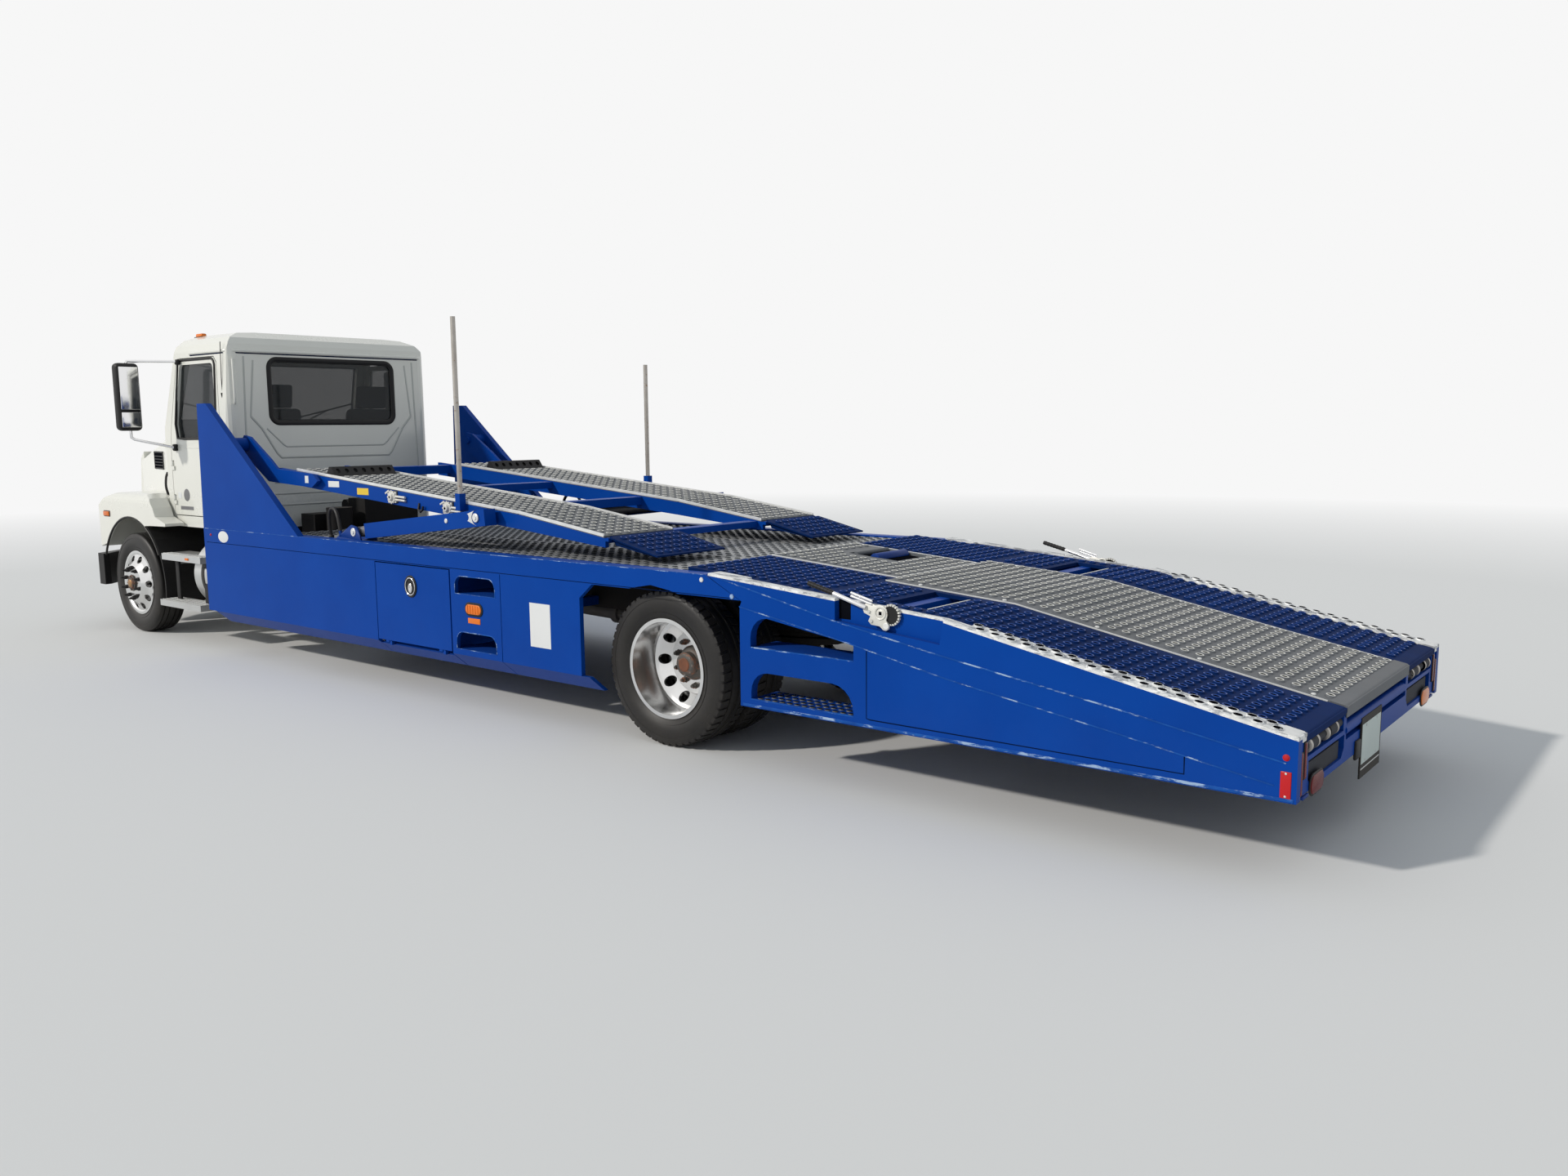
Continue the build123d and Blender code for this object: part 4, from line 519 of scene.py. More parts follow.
lamp_red_dark = finish("lamp_red_dark", (0.16, 0.006, 0.008), (0.11, 0.005, 0.006), rough=0.2, specular=0.12, dust=0.0,
                       bump=0.1, grain=120.0)
seat_cloth = finish("seat_cloth", (0.035, 0.035, 0.038), (0.05, 0.05, 0.052), rough=0.9, dust=0.0, top=0.0, bump=0.5,
                    grain=900.0, coarse=60.0)
interior = finish("cab_interior", (0.16, 0.16, 0.165), (0.13, 0.13, 0.135), rough=0.6, dust=0.0, top=0.02, bump=0.3,
                  grain=600.0)
pole_steel = finish("pole_steel", (0.45, 0.43, 0.4), (0.3, 0.27, 0.24), metal=0.7, dust=0.0, top=0.0, scuffs=0.5,
                    bare=(0.25, 0.16, 0.1), bump=0.2, scale=5.0)
strut_grey = finish("strut_grey", (0.2, 0.2, 0.21), (0.15, 0.15, 0.155), rough=0.38, metal=0.4, dust=0.1, bump=0.08)
winch_white = finish("winch_white", (0.7, 0.69, 0.64), (0.55, 0.54, 0.5), rough=0.45, metal=0.2, dust=0.1, top=0.1,
                     scuffs=0.5, bare=(0.3, 0.24, 0.17), bump=0.3, scale=16.0)
lamp_red = finish("lamp_red", (0.52, 0.008, 0.012), (0.4, 0.006, 0.01), rough=0.2, specular=0.3, dust=0.05, bump=0.1,
                  grain=120.0)
lamp_amber = finish("lamp_amber", (0.8, 0.19, 0.01), (0.62, 0.13, 0.008), rough=0.2, specular=0.35, dust=0.05, bump=0.1,
                    grain=120.0)
lamp_clear = finish("lamp_clear", (0.75, 0.76, 0.78), (0.62, 0.63, 0.66), rough=0.1, metal=0.35, coat=1.0, dust=0.05,
                    bump=0.05)
curb_zinc = finish("curb_zinc", (0.92, 0.92, 0.91), (0.5, 0.51, 0.5), rough=0.5, metal=0.05, dust=0.03, top=0.02,
                   scuffs=0.8, bare=(0.3, 0.31, 0.33), bump=0.8, grain=110.0, coarse=40.0, scale=16.0)
chrome = finish("chrome", (0.86, 0.86, 0.86), (0.78, 0.78, 0.79), rough=0.12, metal=1.0, dust=0.05, top=0.02, bump=0.03)
bronze = finish("hub_bronze", (0.42, 0.24, 0.1), (0.3, 0.16, 0.07), rough=0.35, metal=0.7, dust=0.15)
# lighter copy of the body blue for welds, lips and edges: painted highlight where they catch the light, with chips of
# wear
weld_blue = finish("weld_blue", (0.008, 0.09, 0.38), (0.002, 0.04, 0.23), dust=0.03, top=0.03, scuffs=0.75,
                   bare=(0.3, 0.42, 0.6), bump=0.5, specular=0.1, grain=180.0, coarse=60.0, scale=11.0)
# dark lines in panel gaps and grooves: painted shade
seam_dark = finish("seam_dark", (0.004, 0.012, 0.05), (0.002, 0.008, 0.035), rough=0.7, dust=0.0, top=0.0, bump=0.0,
                   specular=0.0)
blank_sheet = finish("blank_sheet", (0.72, 0.73, 0.72), (0.66, 0.67, 0.67), dust=0.12, top=0.0, scuffs=0.1, bump=0.05)
blank_yellow = finish("blank_yellow", (0.75, 0.52, 0.03), (0.68, 0.46, 0.03), rough=0.45, dust=0.12, bump=0.05)
plate_sheet = finish("number_sheet", (0.6, 0.68, 0.64), (0.5, 0.58, 0.56), rough=0.45, dust=0.3, top=0.0, scuffs=0.2,
                     bump=0.1)
# bright zinc for bolts and pins, and for the light strips along plate edges, which are worn zinc and painted highlight
edge_zinc = finish("edge_zinc", (0.78, 0.78, 0.77), (0.62, 0.63, 0.62), rough=0.38, metal=0.35, dust=0.08, top=0.05,
                   scuffs=0.3, bare=(0.45, 0.45, 0.45), bump=0.4, grain=120.0, coarse=45.0, scale=14.0)
deck_zinc = finish("deck_zinc", (0.36, 0.37, 0.38), (0.27, 0.28, 0.29), rough=0.5, metal=0.3, specular=0.2, dust=0.15,
                   top=0.2, scuffs=0.3, bare=(0.5, 0.5, 0.5), bump=0.3, grain=140.0, coarse=30.0, scale=5.0)

window, tree, shader = new_material("tinted_glass", {"Base Color": (0.012, 0.018, 0.022, 1), "Alpha": 0.52,
                                                     "Specular IOR Level": 0.35})
smear = noise(tree, node(tree, "ShaderNodeTexCoord").outputs["Object"], Scale=3.0)
smear = maths(tree, "MULTIPLY", smear.outputs["Fac"], 0.06)
tree.links.new(maths(tree, "ADD", smear, 0.01), shader.inputs["Roughness"])

slot_finish = {
    "body_blue": body_blue, "cab_white": cab_white, "chassis_black": chassis_black, "engine_iron": engine_iron,
    "deck_steel": deck_zinc, "deck_grey": grip_grey, "deck_blue": deck_blue, "frame_blue": frame_blue,
    "galvanised": zinc, "winch_white": winch_white, "tinted_glass": window, "seat_fabric": seat_cloth,
    "cab_plastic": interior, "black_trim": black_plastic, "tank_aluminium": brushed, "lamp_red": lamp_red,
    "lamp_clear": lamp_clear, "wheel_alloy": polished, "tyre_rubber": rubber, "pole_steel": pole_steel,
    "strut_grey": strut_grey, "grip_blue": deck_blue,
}
slots = {entry["node"]: entry["material_slot"] for entry in frame["record"]["subparts"]}
for name, cad in nodes.items():
    cad.data.materials.clear()
    cad.data.materials.append(slot_finish[slots[name]])
nodes["stowed_ramps"].data.materials[0] = ramp_steel
nodes["curbs"].data.materials[0] = curb_zinc

# looks: a material and the slot that it goes to
black, gum, bright_trim = ((material, "black_trim") for material in (black_plastic, rubber, chrome))
white, painted_shade_white, sheet, label = ((material, "cab_white") for material in (cab_white, cab_shade, blank_sheet, interior))
cast, shiny, socket_hole_shade = ((material, "winch_white") for material in (winch_white, chrome, hole_dark))
edge, zinced, worn_steel, plated = ((material, "galvanised") for material in (edge_zinc, zinc, pole_steel, chrome))
amber, clear, bright_lamp = ((material, "lamp_clear") for material in (lamp_amber, lamp_clear, chrome))
weld_wear_and_highlight, gap_shade, frame_look = ((material, "body_blue") for material in (weld_blue, seam_dark, frame_blue))
iron, bronzed, rusty, cast_iron = ((material, "wheel_alloy") for material in (hub_iron, bronze, rust, engine_iron))
red, dark_red = ((material, "lamp_red") for material in (lamp_red, lamp_red_dark))


# ---------------------------------------------------------------- lines of the decks
deck_front, deck_knee, deck_end = (-0.2, 1.085), (-1.95, 0.945), (tail, 0.625)
upper_front, upper_knee, upper_end = (4.42, 1.58), (1.44, 1.318), (0.615, 1.203)
flap_end, flap_hinge = (0.172, 1.107), (0.579, 1.199)


def on_slope(x, a, b):
    """height at a station on the line through two points in station and height"""
    return a[1] + (b[1] - a[1]) * (x - a[0]) / (b[0] - a[0])


def deck_line(x):
    """height of the rear deck's top at a station"""
    return on_slope(x, deck_knee, deck_front if x > deck_knee[0] else deck_end)


def upper_line(x):
    """height of the upper deck's top at a station"""
    return on_slope(x, upper_knee, upper_front if x > upper_knee[0] else upper_end)


def flap_line(x):
    return on_slope(x, flap_end, flap_hinge)


def flat(height):
    """line of a level deck or tread"""
    return lambda x: height


# ---------------------------------------------------------------- grip plates
def grip_button(rings, sides):
    """one raised button with a hole, ring by ring from its foot to the hole"""
    deselect()
    bpy.ops.mesh.primitive_circle_add(vertices=sides, radius=rings[0][0], location=(0, 0, rings[0][1]))
    piece = bpy.context.object
    settle(piece)
    bpy.ops.object.mode_set(mode="EDIT")
    bpy.ops.mesh.select_all(action="SELECT")
    for (radius, z), (next_radius, next_z) in zip(rings, rings[1:]):
        bpy.ops.mesh.extrude_region_move(TRANSFORM_OT_translate={"value": (0, 0, next_z - z)})
        grow = next_radius / radius
        bpy.ops.transform.resize(value=(grow, grow, 1))
    bpy.ops.mesh.edge_face_add()
    bpy.ops.object.mode_set(mode="OBJECT")
    return piece


button_rings = ((0.025, -0.0005), (0.021, 0.009), (0.0175, 0.0105), (0.0145, 0.0085), (0.0135, 0.0006))
low_rings = ((0.022, -0.0005), (0.0175, 0.0055), (0.0125, 0.0006))


def grip_field(name, line, x_range, y_range, pitch, materials, skip=(), lift=0.0, rings=button_rings, sides=10):
    """rows of buttons on a plate; skip lists boxes in station and y that stay bare"""
    piece = grip_button(rings, sides)
    piece.name = name
    for material in materials:
        piece.data.materials.append(material)
    # the materials are the plate's, the crest's and the hole's; the lighter crest is painted highlight, on grey plates
    # partly worn steel too, and the dark hole is painted shade
    flank, crest, hole = range(3)
    bottom_radius = 0.004
    hole_edge = rings[-1][0] + 0.002
    crest_foot = 0.6 * max(z for radius, z in rings)
    for face in piece.data.polygons:
        reach = math.hypot(face.center.x, face.center.y)
        if reach >= bottom_radius and face.center.z > crest_foot:
            face.material_index = crest
        else:
            face.material_index = hole if reach < hole_edge else flank
    for axis, (low, high) in enumerate((x_range, y_range)):
        count = round((high - low) / pitch) + 1
        step = (high - low) / max(count - 1, 1)
        modifier = piece.modifiers.new("row", "ARRAY")
        modifier.count = count
        modifier.use_relative_offset = False
        modifier.use_constant_offset = True
        modifier.constant_offset_displace = [step if i == axis else 0 for i in range(3)]
    harden(piece)
    for vertex in piece.data.vertices:
        x = vertex.co.x + x_range[0]
        vertex.co = (x + shift, vertex.co.y + y_range[0], line(x) + vertex.co.z + lift)
    if skip:
        shape = bmesh.new()
        shape.from_mesh(piece.data)
        near = {v for v in shape.verts if any(a[0] < v.co.x - shift < a[1] and a[2] < v.co.y < a[3] for a in skip)}
        touched = set()
        while near:
            touched |= near
            near = {e.other_vert(v) for v in near for e in v.link_edges} - touched
        bmesh.ops.delete(shape, geom=list(touched), context="VERTS")
        shape.to_mesh(piece.data)
        shape.free()
    return smooth(piece, 50)


grey_buttons = (grip_grey, crest_steel, hole_dark)
blue_buttons = (deck_blue, crest_blue, hole_dark)
zinc_buttons = (zinc, crest_steel, hole_dark)
curb_buttons = (curb_zinc, curb_zinc, hole_dark)
curb_rings = ((0.0255, -0.0005), (0.0235, 0.0075), (0.0195, 0.0075), (0.018, 0.0005))
curb_pitch = 0.08
winch_hole = (-1.765, -1.475, 0.615, 1.115)
lower_deck, lower_rows, lower_pitch = flat(1.05), (-0.13, 4.2), 0.0795

fit(grip_field("middle_plate_grips", deck_line, (-3.49, -1.175), (-0.525, 0.5), 0.0735, grey_buttons), "chassis")
fit(grip_field("hatch_grips", deck_line, (-1.095, -0.245), (-0.385, 0.385), 0.0765, grey_buttons,
               skip=((-0.825, -0.405, -0.425, -0.025),)), "chassis")
for s, side in hands:
    hole = (*winch_hole[:2], *span(s, *winch_hole[2:]))
    rear_strip = grip_field("rear_grips", deck_line, (-3.47, -1.21), span(s, 0.7, 1.155), 0.0735, blue_buttons,
                            skip=(hole,), lift=-0.004)
    front_strip = grip_field("front_grips", deck_line, (-1.08, -0.25), span(s, 0.52, 1.13), 0.0755, blue_buttons,
                             lift=-0.004)
    fit(joined("strip_grips_" + side, [rear_strip, front_strip]), "chassis")
    rows = [grip_field("curb_row", deck_line, (start, start + 17 * curb_pitch), span(s, y, y), curb_pitch,
                       curb_buttons, lift=0.006, rings=curb_rings, sides=14)
            for y, start in ((1.214, -3.455), (1.268, -3.495))]
    fit(joined("curb_grips_" + side, rows), "chassis")
    fit(grip_field("upper_grips_" + side, upper_line, (0.66, 4.1), span(s, 0.525, 0.99), 0.0765, grey_buttons,
                   skip=((3.61, 3.83, -1.1, 1.1),)), "upper_deck")
    fit(grip_field("flap_grips_" + side, flap_line, (0.225, 0.53), span(s, 0.525, 0.99), 0.0765, blue_buttons),
        "flap_" + side)
    fit(grip_field("lower_deck_grips_" + side, lower_deck, lower_rows, span(s, 0.5, 1.14), lower_pitch, grey_buttons,
                   skip=((3.0, 3.62, *span(s, 1.03, 1.2)),), rings=low_rings, sides=8), "chassis")
fit(grip_field("lower_deck_grips_middle", lower_deck, lower_rows, (-0.395, 0.395), lower_pitch, grey_buttons,
               rings=low_rings, sides=8), "chassis")

# ---------------------------------------------------------------- tyres
sidewall = ((0.1035, 0.2862), (0.1045, 0.2985), (0.109, 0.3035), (0.1165, 0.318), (0.122, 0.333), (0.1195, 0.3345),
            (0.1245, 0.348), (0.1272, 0.368), (0.1275, 0.383), (0.1262, 0.4), (0.124, 0.412), (0.1262, 0.4135),
            (0.1245, 0.4255), (0.1205, 0.438), (0.1155, 0.449))
rib_tread = ((0.1105, 0.4565), (0.1035, 0.4608), (0.096, 0.4622), (0.0785, 0.463), (0.077, 0.4515), (0.0705, 0.4515),
             (0.069, 0.4635), (0.0345, 0.4645), (0.033, 0.4525), (0.0255, 0.4525), (0.024, 0.4648), (0.0005, 0.465))
lug_tread = ((0.111, 0.4525), (0.0985, 0.4545), (0.052, 0.456), (0.0475, 0.4565), (0.046, 0.4635), (0.0205, 0.465),
             (0.019, 0.456), (0.0005, 0.456))
lugs_round = 52
tyre_look = (rubber, "tyre_rubber")
front_row, twin_rows = 1.0475, (0.7625, 1.0725)


def tyre(name, tread, x, y, s):
    """tyre turned from a sidewall and the given half of its tread"""
    outer = [*sidewall, *tread]
    return turned(name, outer + [(-out, radius) for out, radius in reversed(outer)], x, y, axle, s, 96)


def tread_lug(s):
    """shoulder lug of the rear tyres, from the rib over the shoulder"""
    piece = box("lug", (-0.0195, 0.0195, 0.054, 0.119, axle + 0.45, axle + 0.4645), 0)
    for vertex in piece.data.vertices:
        if vertex.co.y > 0.1:
            vertex.co.z -= 0.0065 if vertex.co.z > 0.92 else 0.03
            vertex.co.y += 0.0055 if vertex.co.z < 0.9 else -0.003
        else:
            vertex.co.x += 0.012
    rounded(piece, 0.002, 1)
    piece.data.transform(Matrix.Scale(s, 4, Vector((0, 1, 0))))
    return outward(piece) if s < 0 else piece


for s, side in hands:
    front_tyre = tyre("front_tyre_" + side, rib_tread, wheelbase, front_row, s)
    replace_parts(put(front_tyre, tyre_look, "front_wheel_" + side), "tyre_front_" + side)
    parts = []
    for y in twin_rows:
        parts.append(tyre("carcass", lug_tread, 0, y, s))
        for shoulder in (1, -1):
            lug = tread_lug(shoulder)
            lug.data.transform(Matrix.Translation((0, s * y, 0)))
            parts.append(wreath(lug, lugs_round, 0, s * y, axle, "lugs"))
            if shoulder < 0:
                parts[-1].data.transform(swing(math.pi / lugs_round, "Y", 0, 0, axle))
    rear_tyres = smooth(joined("rear_tyres_" + side, parts), 32)
    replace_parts(put(rear_tyres, tyre_look, "rear_wheels_" + side), "tyres_rear_" + side)

# ---------------------------------------------------------------- wheels
# name, station, y, look, steps of its turn, how many, radius of their circle, profile
wheel_pieces = (
    ("nut_covers", wheelbase, 1.2155, black, 14, 10, 0.1425, (
        (-0.002, 0.0185), (0.014, 0.0185), (0.0165, 0.016), (0.02, 0.0125), (0.034, 0.0095), (0.049, 0.0025),
        (0.05, 0.0))),
    ("hub_cap", wheelbase, 1.2155, iron, 48, 1, 0, (
        (-0.01, 0.0715), (0.0105, 0.0715), (0.0135, 0.069), (0.0135, 0.055), (0.022, 0.052), (0.0245, 0.049),
        (0.0245, 0.03), (0.0215, 0.028), (0.0215, 0.0))),
    ("hub_cap_middle", wheelbase, 1.2365, bronzed, 36, 1, 0, (
        (0.0, 0.036), (0.004, 0.036), (0.009, 0.031), (0.0115, 0.02), (0.0115, 0.0))),
    ("cap_studs", wheelbase, 1.2295, rusty, 6, 8, 0.062, (
        (-0.002, 0.0065), (0.006, 0.0065), (0.0075, 0.005), (0.0075, 0.0))),
    ("wheel_nuts", 0, 0.9315, iron, 6, 10, 0.1425, (
        (-0.002, 0.021), (0.004, 0.021), (0.004, 0.0165), (0.024, 0.0165), (0.0265, 0.0145), (0.0265, 0.0105),
        (0.038, 0.0105), (0.04, 0.0085), (0.04, 0.0))),
    ("hub_cover", 0, 0.9175, iron, 48, 1, 0, (
        (0.012, 0.1055), (0.0355, 0.1055), (0.041, 0.1), (0.0545, 0.0935), (0.066, 0.08), (0.0685, 0.0735),
        (0.101, 0.072), (0.1085, 0.066), (0.1135, 0.055), (0.1135, 0.0))),
    ("hub_cover_middle", 0, 1.03, rusty, 32, 1, 0, (
        (0.0, 0.042), (0.003, 0.042), (0.006, 0.036), (0.0045, 0.02), (0.0045, 0.0))),
    ("flange_bolts", 0, 1.0185, cast_iron, 6, 8, 0.0585, (
        (-0.002, 0.009), (0.009, 0.009), (0.011, 0.007), (0.011, 0.0))))
for s, side in hands:
    for name, x, y, look, steps, count, radius, profile in wheel_pieces:
        first = turned(name, profile, x, y, axle + radius, s, steps)
        put(wreath(first, count, x, s * y, axle, name + "_" + side), look,
            ("front_wheel_" if x else "rear_wheels_") + side)

# ---------------------------------------------------------------- rear sides
# the lighter blue of the welds, lips and step edges on this side is painted highlight, with chips of wear
both(strip("upper_weld", [(-0.53, 1.048), (-1.31, 0.885), (-1.95, 0.775), (-2.836, 0.641), (-3.54, 0.522)], 0.007,
           0.002, 0.0025), weld_wear_and_highlight)
both(strip("lower_weld", [(-0.67, 0.904), (-0.898, 0.867), (-1.427, 0.774), (-1.976, 0.667), (-2.839, 0.533),
                          (-3.497, 0.423)], 0.006, 0.002, 0.002), weld_wear_and_highlight)
# dark line along the cover panel's edge: painted shade in the gap
cover_line = [(-1.507, 0.752), (-1.507, 0.408), (-1.53, 0.404), (-3.13, 0.406), (-3.13, 0.482)]
both(tube("cover_seam", [(x, half, z) for x, z in cover_line], 0.0032, squeeze=(1, half, 0.4)), gap_shade)
both(strip("foot_lip", [(-0.69, 0.371), (-3.575, 0.371)], 0.014, 0.003, 0.003, 0.002), weld_wear_and_highlight)
for number, (x, z, look) in enumerate(((-0.398, 1.031, edge), (-0.62, 0.955, weld_wear_and_highlight))):
    both(turned("side_pin_%d" % number, [(-0.004, 0.014), (0.003, 0.014), (0.006, 0.011), (0.006, 0.0)], x, half, z,
                1, 20), look)
treads = grip_field("rear_tread", flat(0.406), (-1.39, -0.79), (1.1, 1.265), 0.05, grey_buttons,
                    rings=((0.017, -0.0005), (0.0135, 0.005), (0.009, 0.0006)), sides=8)
fit(mirrored(treads, "rear_tread_right"), "chassis")
treads.name += "_left"
fit(treads, "chassis")
for name, z, front_z in (("upper", 0.69, 0.777), ("lower", 0.406, 0.402)):
    both(strip("rear_step_edge_" + name, [(-0.745, z), (-1.425, z)], 0.006, 0.012, 0.001), weld_wear_and_highlight)
    lip = [(1.424, front_z + 0.002)] + arc(1.49, front_z + 0.054, 0.0665, 180, 90, 6) \
        + arc(1.78, front_z + 0.054, 0.0665, 90, 0, 6) + [(1.846, front_z + 0.002)]
    both(tube("front_step_lip_" + name, [(x, half, z) for x, z in lip], 0.0035, closed=True, squeeze=(1, half, 0.6)),
         weld_wear_and_highlight)

# ---------------------------------------------------------------- lamps and reflectors
def round_ended(low, high):
    """outline of a long lamp with round ends, from (x, z) to (x, z)"""
    radius = (high[1] - low[1]) / 2
    z = (high[1] + low[1]) / 2
    return arc(high[0] - radius, z, radius, -90, 90, 12) + arc(low[0] + radius, z, radius, 90, 270, 12)


def tail_plate(name, outline, low_x, high_x, bevel):
    """plate on the tail, its outline given in y and height"""
    piece = plate(name, outline, -high_x, -low_x, bevel, 3)
    piece.data.transform(swing(math.pi / 2, "Z", 0))
    return piece


rib_step = 0.022
tail_set = []
for name, ys, (z_low, z_high) in (("tail_lamp_tall", (1.2165, 1.2435), (0.3785, 0.5545)),
                                  ("tail_lamp_second", (1.1665, 1.1955), (0.4405, 0.5895))):
    both(box(name + "_rim", (tail + 0.002, tail + 0.009, ys[0] - 0.004, ys[1] + 0.004, z_low - 0.004,
                             z_high + 0.004), 0.003), black)
    tail_set += both(box(name, (tail, tail + 0.008, *ys, z_low, z_high), steps=3), dark_red)
    for i in range(int((z_high - z_low) / rib_step)):
        z = z_low + i * rib_step
        both(box(name + "_rib%d" % i, (tail - 0.0008, tail + 0.004, ys[0] + 0.004, ys[1] - 0.004, z + 0.012,
                                       z + 0.0145), 0.0008, 1), dark_red)
for s, side in hands:
    low, high = span(s, 0.918, 1.098)
    tail_set.append(put(tail_plate("round_lamp_" + side, round_ended((low, 0.346), (high, 0.426)), tail - 0.003,
                                   tail + 0.007, 0.004), dark_red if s > 0 else amber))
    put(tail_plate("round_lamp_rim_" + side, round_ended((low - 0.008, 0.338), (high + 0.008, 0.434)), tail + 0.001,
                   tail + 0.009, 0.003), black)
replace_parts(tail_set[0], "tail_lamps")
for name, x, z, radius in (("rear_marker", -3.54, 0.545, 0.011), ("rail_marker", 5.162, 1.009, 0.008)):
    both(turned(name, [(-0.003, radius + 0.003), (0.002, radius + 0.003), (0.003, radius), (0.006, radius * 0.8),
                       (0.007, radius * 0.4), (0.007, 0.0)], x, half, z, 1, 24), red)
both(box("side_reflector", (-3.5635, -3.5205, half - 0.002, half + 0.004, 0.378, 0.488), 0.003, 3), red)
for number, z in enumerate((0.386, 0.48)):
    both(turned("reflector_screw_%d" % number, [(0.0, 0.0045), (0.0015, 0.0045), (0.002, 0.0035), (0.002, 0.0)],
                -3.542, half + 0.0035, z, 1, 12), zinced)
both(plate("step_lamp_rim", round_ended((1.552, 0.638), (1.74, 0.73)), half - 0.002, half + 0.006, 0.003, 3), black)
both(plate("step_lamp", round_ended((1.565, 0.651), (1.727, 0.717)), half, half + 0.0115, 0.005, 3), amber)
for number in range(5):
    x = 1.592 + number * 0.027
    both(box("step_lamp_rib_%d" % number, (x - 0.002, x + 0.002, half + 0.01, half + 0.0145, 0.656, 0.711), 0.001, 1),
         amber)
both(box("step_reflector", (1.584, 1.712, half - 0.002, half + 0.004, 0.588, 0.625), 0.003, 3), amber)

# ---------------------------------------------------------------- blank sheets, badge and latch on the sides
def stretched(piece, x, z, wide, high=1.0):
    """stretches a piece about a place in station and height"""
    for vertex in piece.data.vertices:
        vertex.co.x = x + shift + (vertex.co.x - x - shift) * wide
        vertex.co.z = z + (vertex.co.z - z) * high
    return piece


both(box("skirt_sheet", (0.885, 1.08, half - 0.001, half + 0.0008, 0.5, 0.78), 0.0006, 1), sheet)
badge = turned("rail_badge", [(-0.001, 0.047), (0.0015, 0.047), (0.0025, 0.044), (0.0025, 0.0)], 4.953, half, 1.0, 1,
               40)
both(stretched(badge, 4.953, 1.0, 1.75), sheet)
latch_x, latch_z = 2.345, 0.786
for title, high, low, look, profile in (
        ("plate", 1.1, 0, black, ((-0.002, 0.07), (0.005, 0.07), (0.008, 0.066), (0.008, 0.06), (0.004, 0.058),
                                  (0.004, 0.0))),
        ("ring", 1.1, 0, plated, ((0.003, 0.058), (0.0095, 0.0575), (0.0115, 0.0545), (0.0095, 0.0515),
                                  (0.003, 0.051))),
        ("tongue", 1.5, 0.012, plated, ((0.003, 0.022), (0.009, 0.022), (0.0115, 0.019), (0.0115, 0.009),
                                        (0.008, 0.007), (0.008, 0.0)))):
    latch = stretched(turned("latch_" + title, profile, latch_x, half, latch_z, 1, 36), latch_x, latch_z, 1.0, high)
    latch.data.transform(Matrix.Translation((0, 0, -low)))
    both(latch, look, "locker_door_left", "locker_door_right")
# dark groove line along the rail: painted shade
both(strip("rail_groove", [(5.24, 0.945), (-0.6, 0.945)], 0.004, 0.001, 0.0007, 0.0), gap_shade)
# lighter edge along the rail: painted highlight
both(strip("rail_light_edge", [(5.26, 1.0595), (-0.41, 1.0595)], 0.004, 0.012, 0.0008), weld_wear_and_highlight)

# ---------------------------------------------------------------- tail end of the deck
def drop(name, ys, x_front, thick, z_low, look, lift):
    """plate folded down over the tail, with a round nose"""
    nose = 0.016
    face = tail + 0.0015
    top_front = deck_line(x_front) + thick + lift
    top_rear = deck_line(tail + nose) + thick + lift
    outline = [(x_front, top_front), (tail + nose, top_rear), *arc(face + nose, top_rear - nose, nose, 90, 180, 5),
               (face, z_low), (face + thick, z_low), *arc(face + nose, top_rear - nose, nose - thick, 180, 90, 5),
               (x_front, top_front - thick)]
    put(plate(name, outline, *ys, 0.0008, 1), look)


drop("tail_lip_middle", (-0.587, 0.587), -3.51, 0.004, 0.575, (grip_grey, "deck_grey"), 0.0)
for s, side in hands:
    drop("tail_flap_" + side, span(s, 0.6, 1.175), -3.505, 0.004, 0.592, (deck_blue, "grip_blue"), -0.004)
    drop("curb_end_" + side, span(s, 1.1855, 1.2935), -3.5, 0.003, 0.6, edge, 0.006)
    for number, y in enumerate((0.7, 0.83, 0.98, 1.08)):
        low, high = span(s, y, y + 0.022)
        put(rod("shaft_collar_%d_%s" % (number, side), (-3.551, low, 0.556), (-3.551, high, 0.556), 0.0335, 28,
                0.003), worn_steel)
    put(box("corner_bracket", (tail + 0.001, tail + 0.012, 1.12, 1.2, 0.352, 0.366), 0.002, s=s), frame_look)
for name, front, back, ys, zs, bevel, steps, look in (
        ("backing", 0.0006, 0.0068, (-0.0405, 0.3205), (0.2345, 0.5205), 0.0006, 1, (chassis_black, "body_blue")),
        ("sheet", 0.0016, 0.001, (-0.022, 0.308), (0.3, 0.488), 0.0006, 1, (plate_sheet, "cab_white")),
        ("bar", 0.001, 0.004, (-0.03, 0.31), (0.272, 0.281), 0.002, 2, zinced),
        ("plug", 0.002, 0.012, (0.325, 0.405), (0.34, 0.43), 0.006, 2, black)):
    put(box("number_" + name, (tail - front, tail + back, *ys, *zs), bevel, steps), look)
for number, (y, z) in enumerate(((0.05, 0.477), (0.24, 0.477), (0.05, 0.311), (0.24, 0.311))):
    put(aimed("number_bolt_%d" % number, [(0.0, 0.006), (0.002, 0.006), (0.002, 0.0)], (tail - 0.0016, y, z), "Z",
              math.pi / 2, 10), zinced)

# dark plate in the hatch's pocket: painted shade in the recess
pocket = [(x, deck_line(x) - depth) for x, depth in ((-0.438, 0.0132), (-0.792, 0.0132), (-0.792, 0.0148),
                                                     (-0.438, 0.0148))]
put(plate("hatch_pocket", pocket, -0.392, -0.058, 0.0004, 1), (hole_dark, "deck_grey"))
roller_x = -0.625
roller_z = deck_line(roller_x) - 0.014
put(rod("hatch_roller", (roller_x, -0.395, roller_z), (roller_x, -0.055, roller_z), 0.036, 36, 0.003), frame_look)

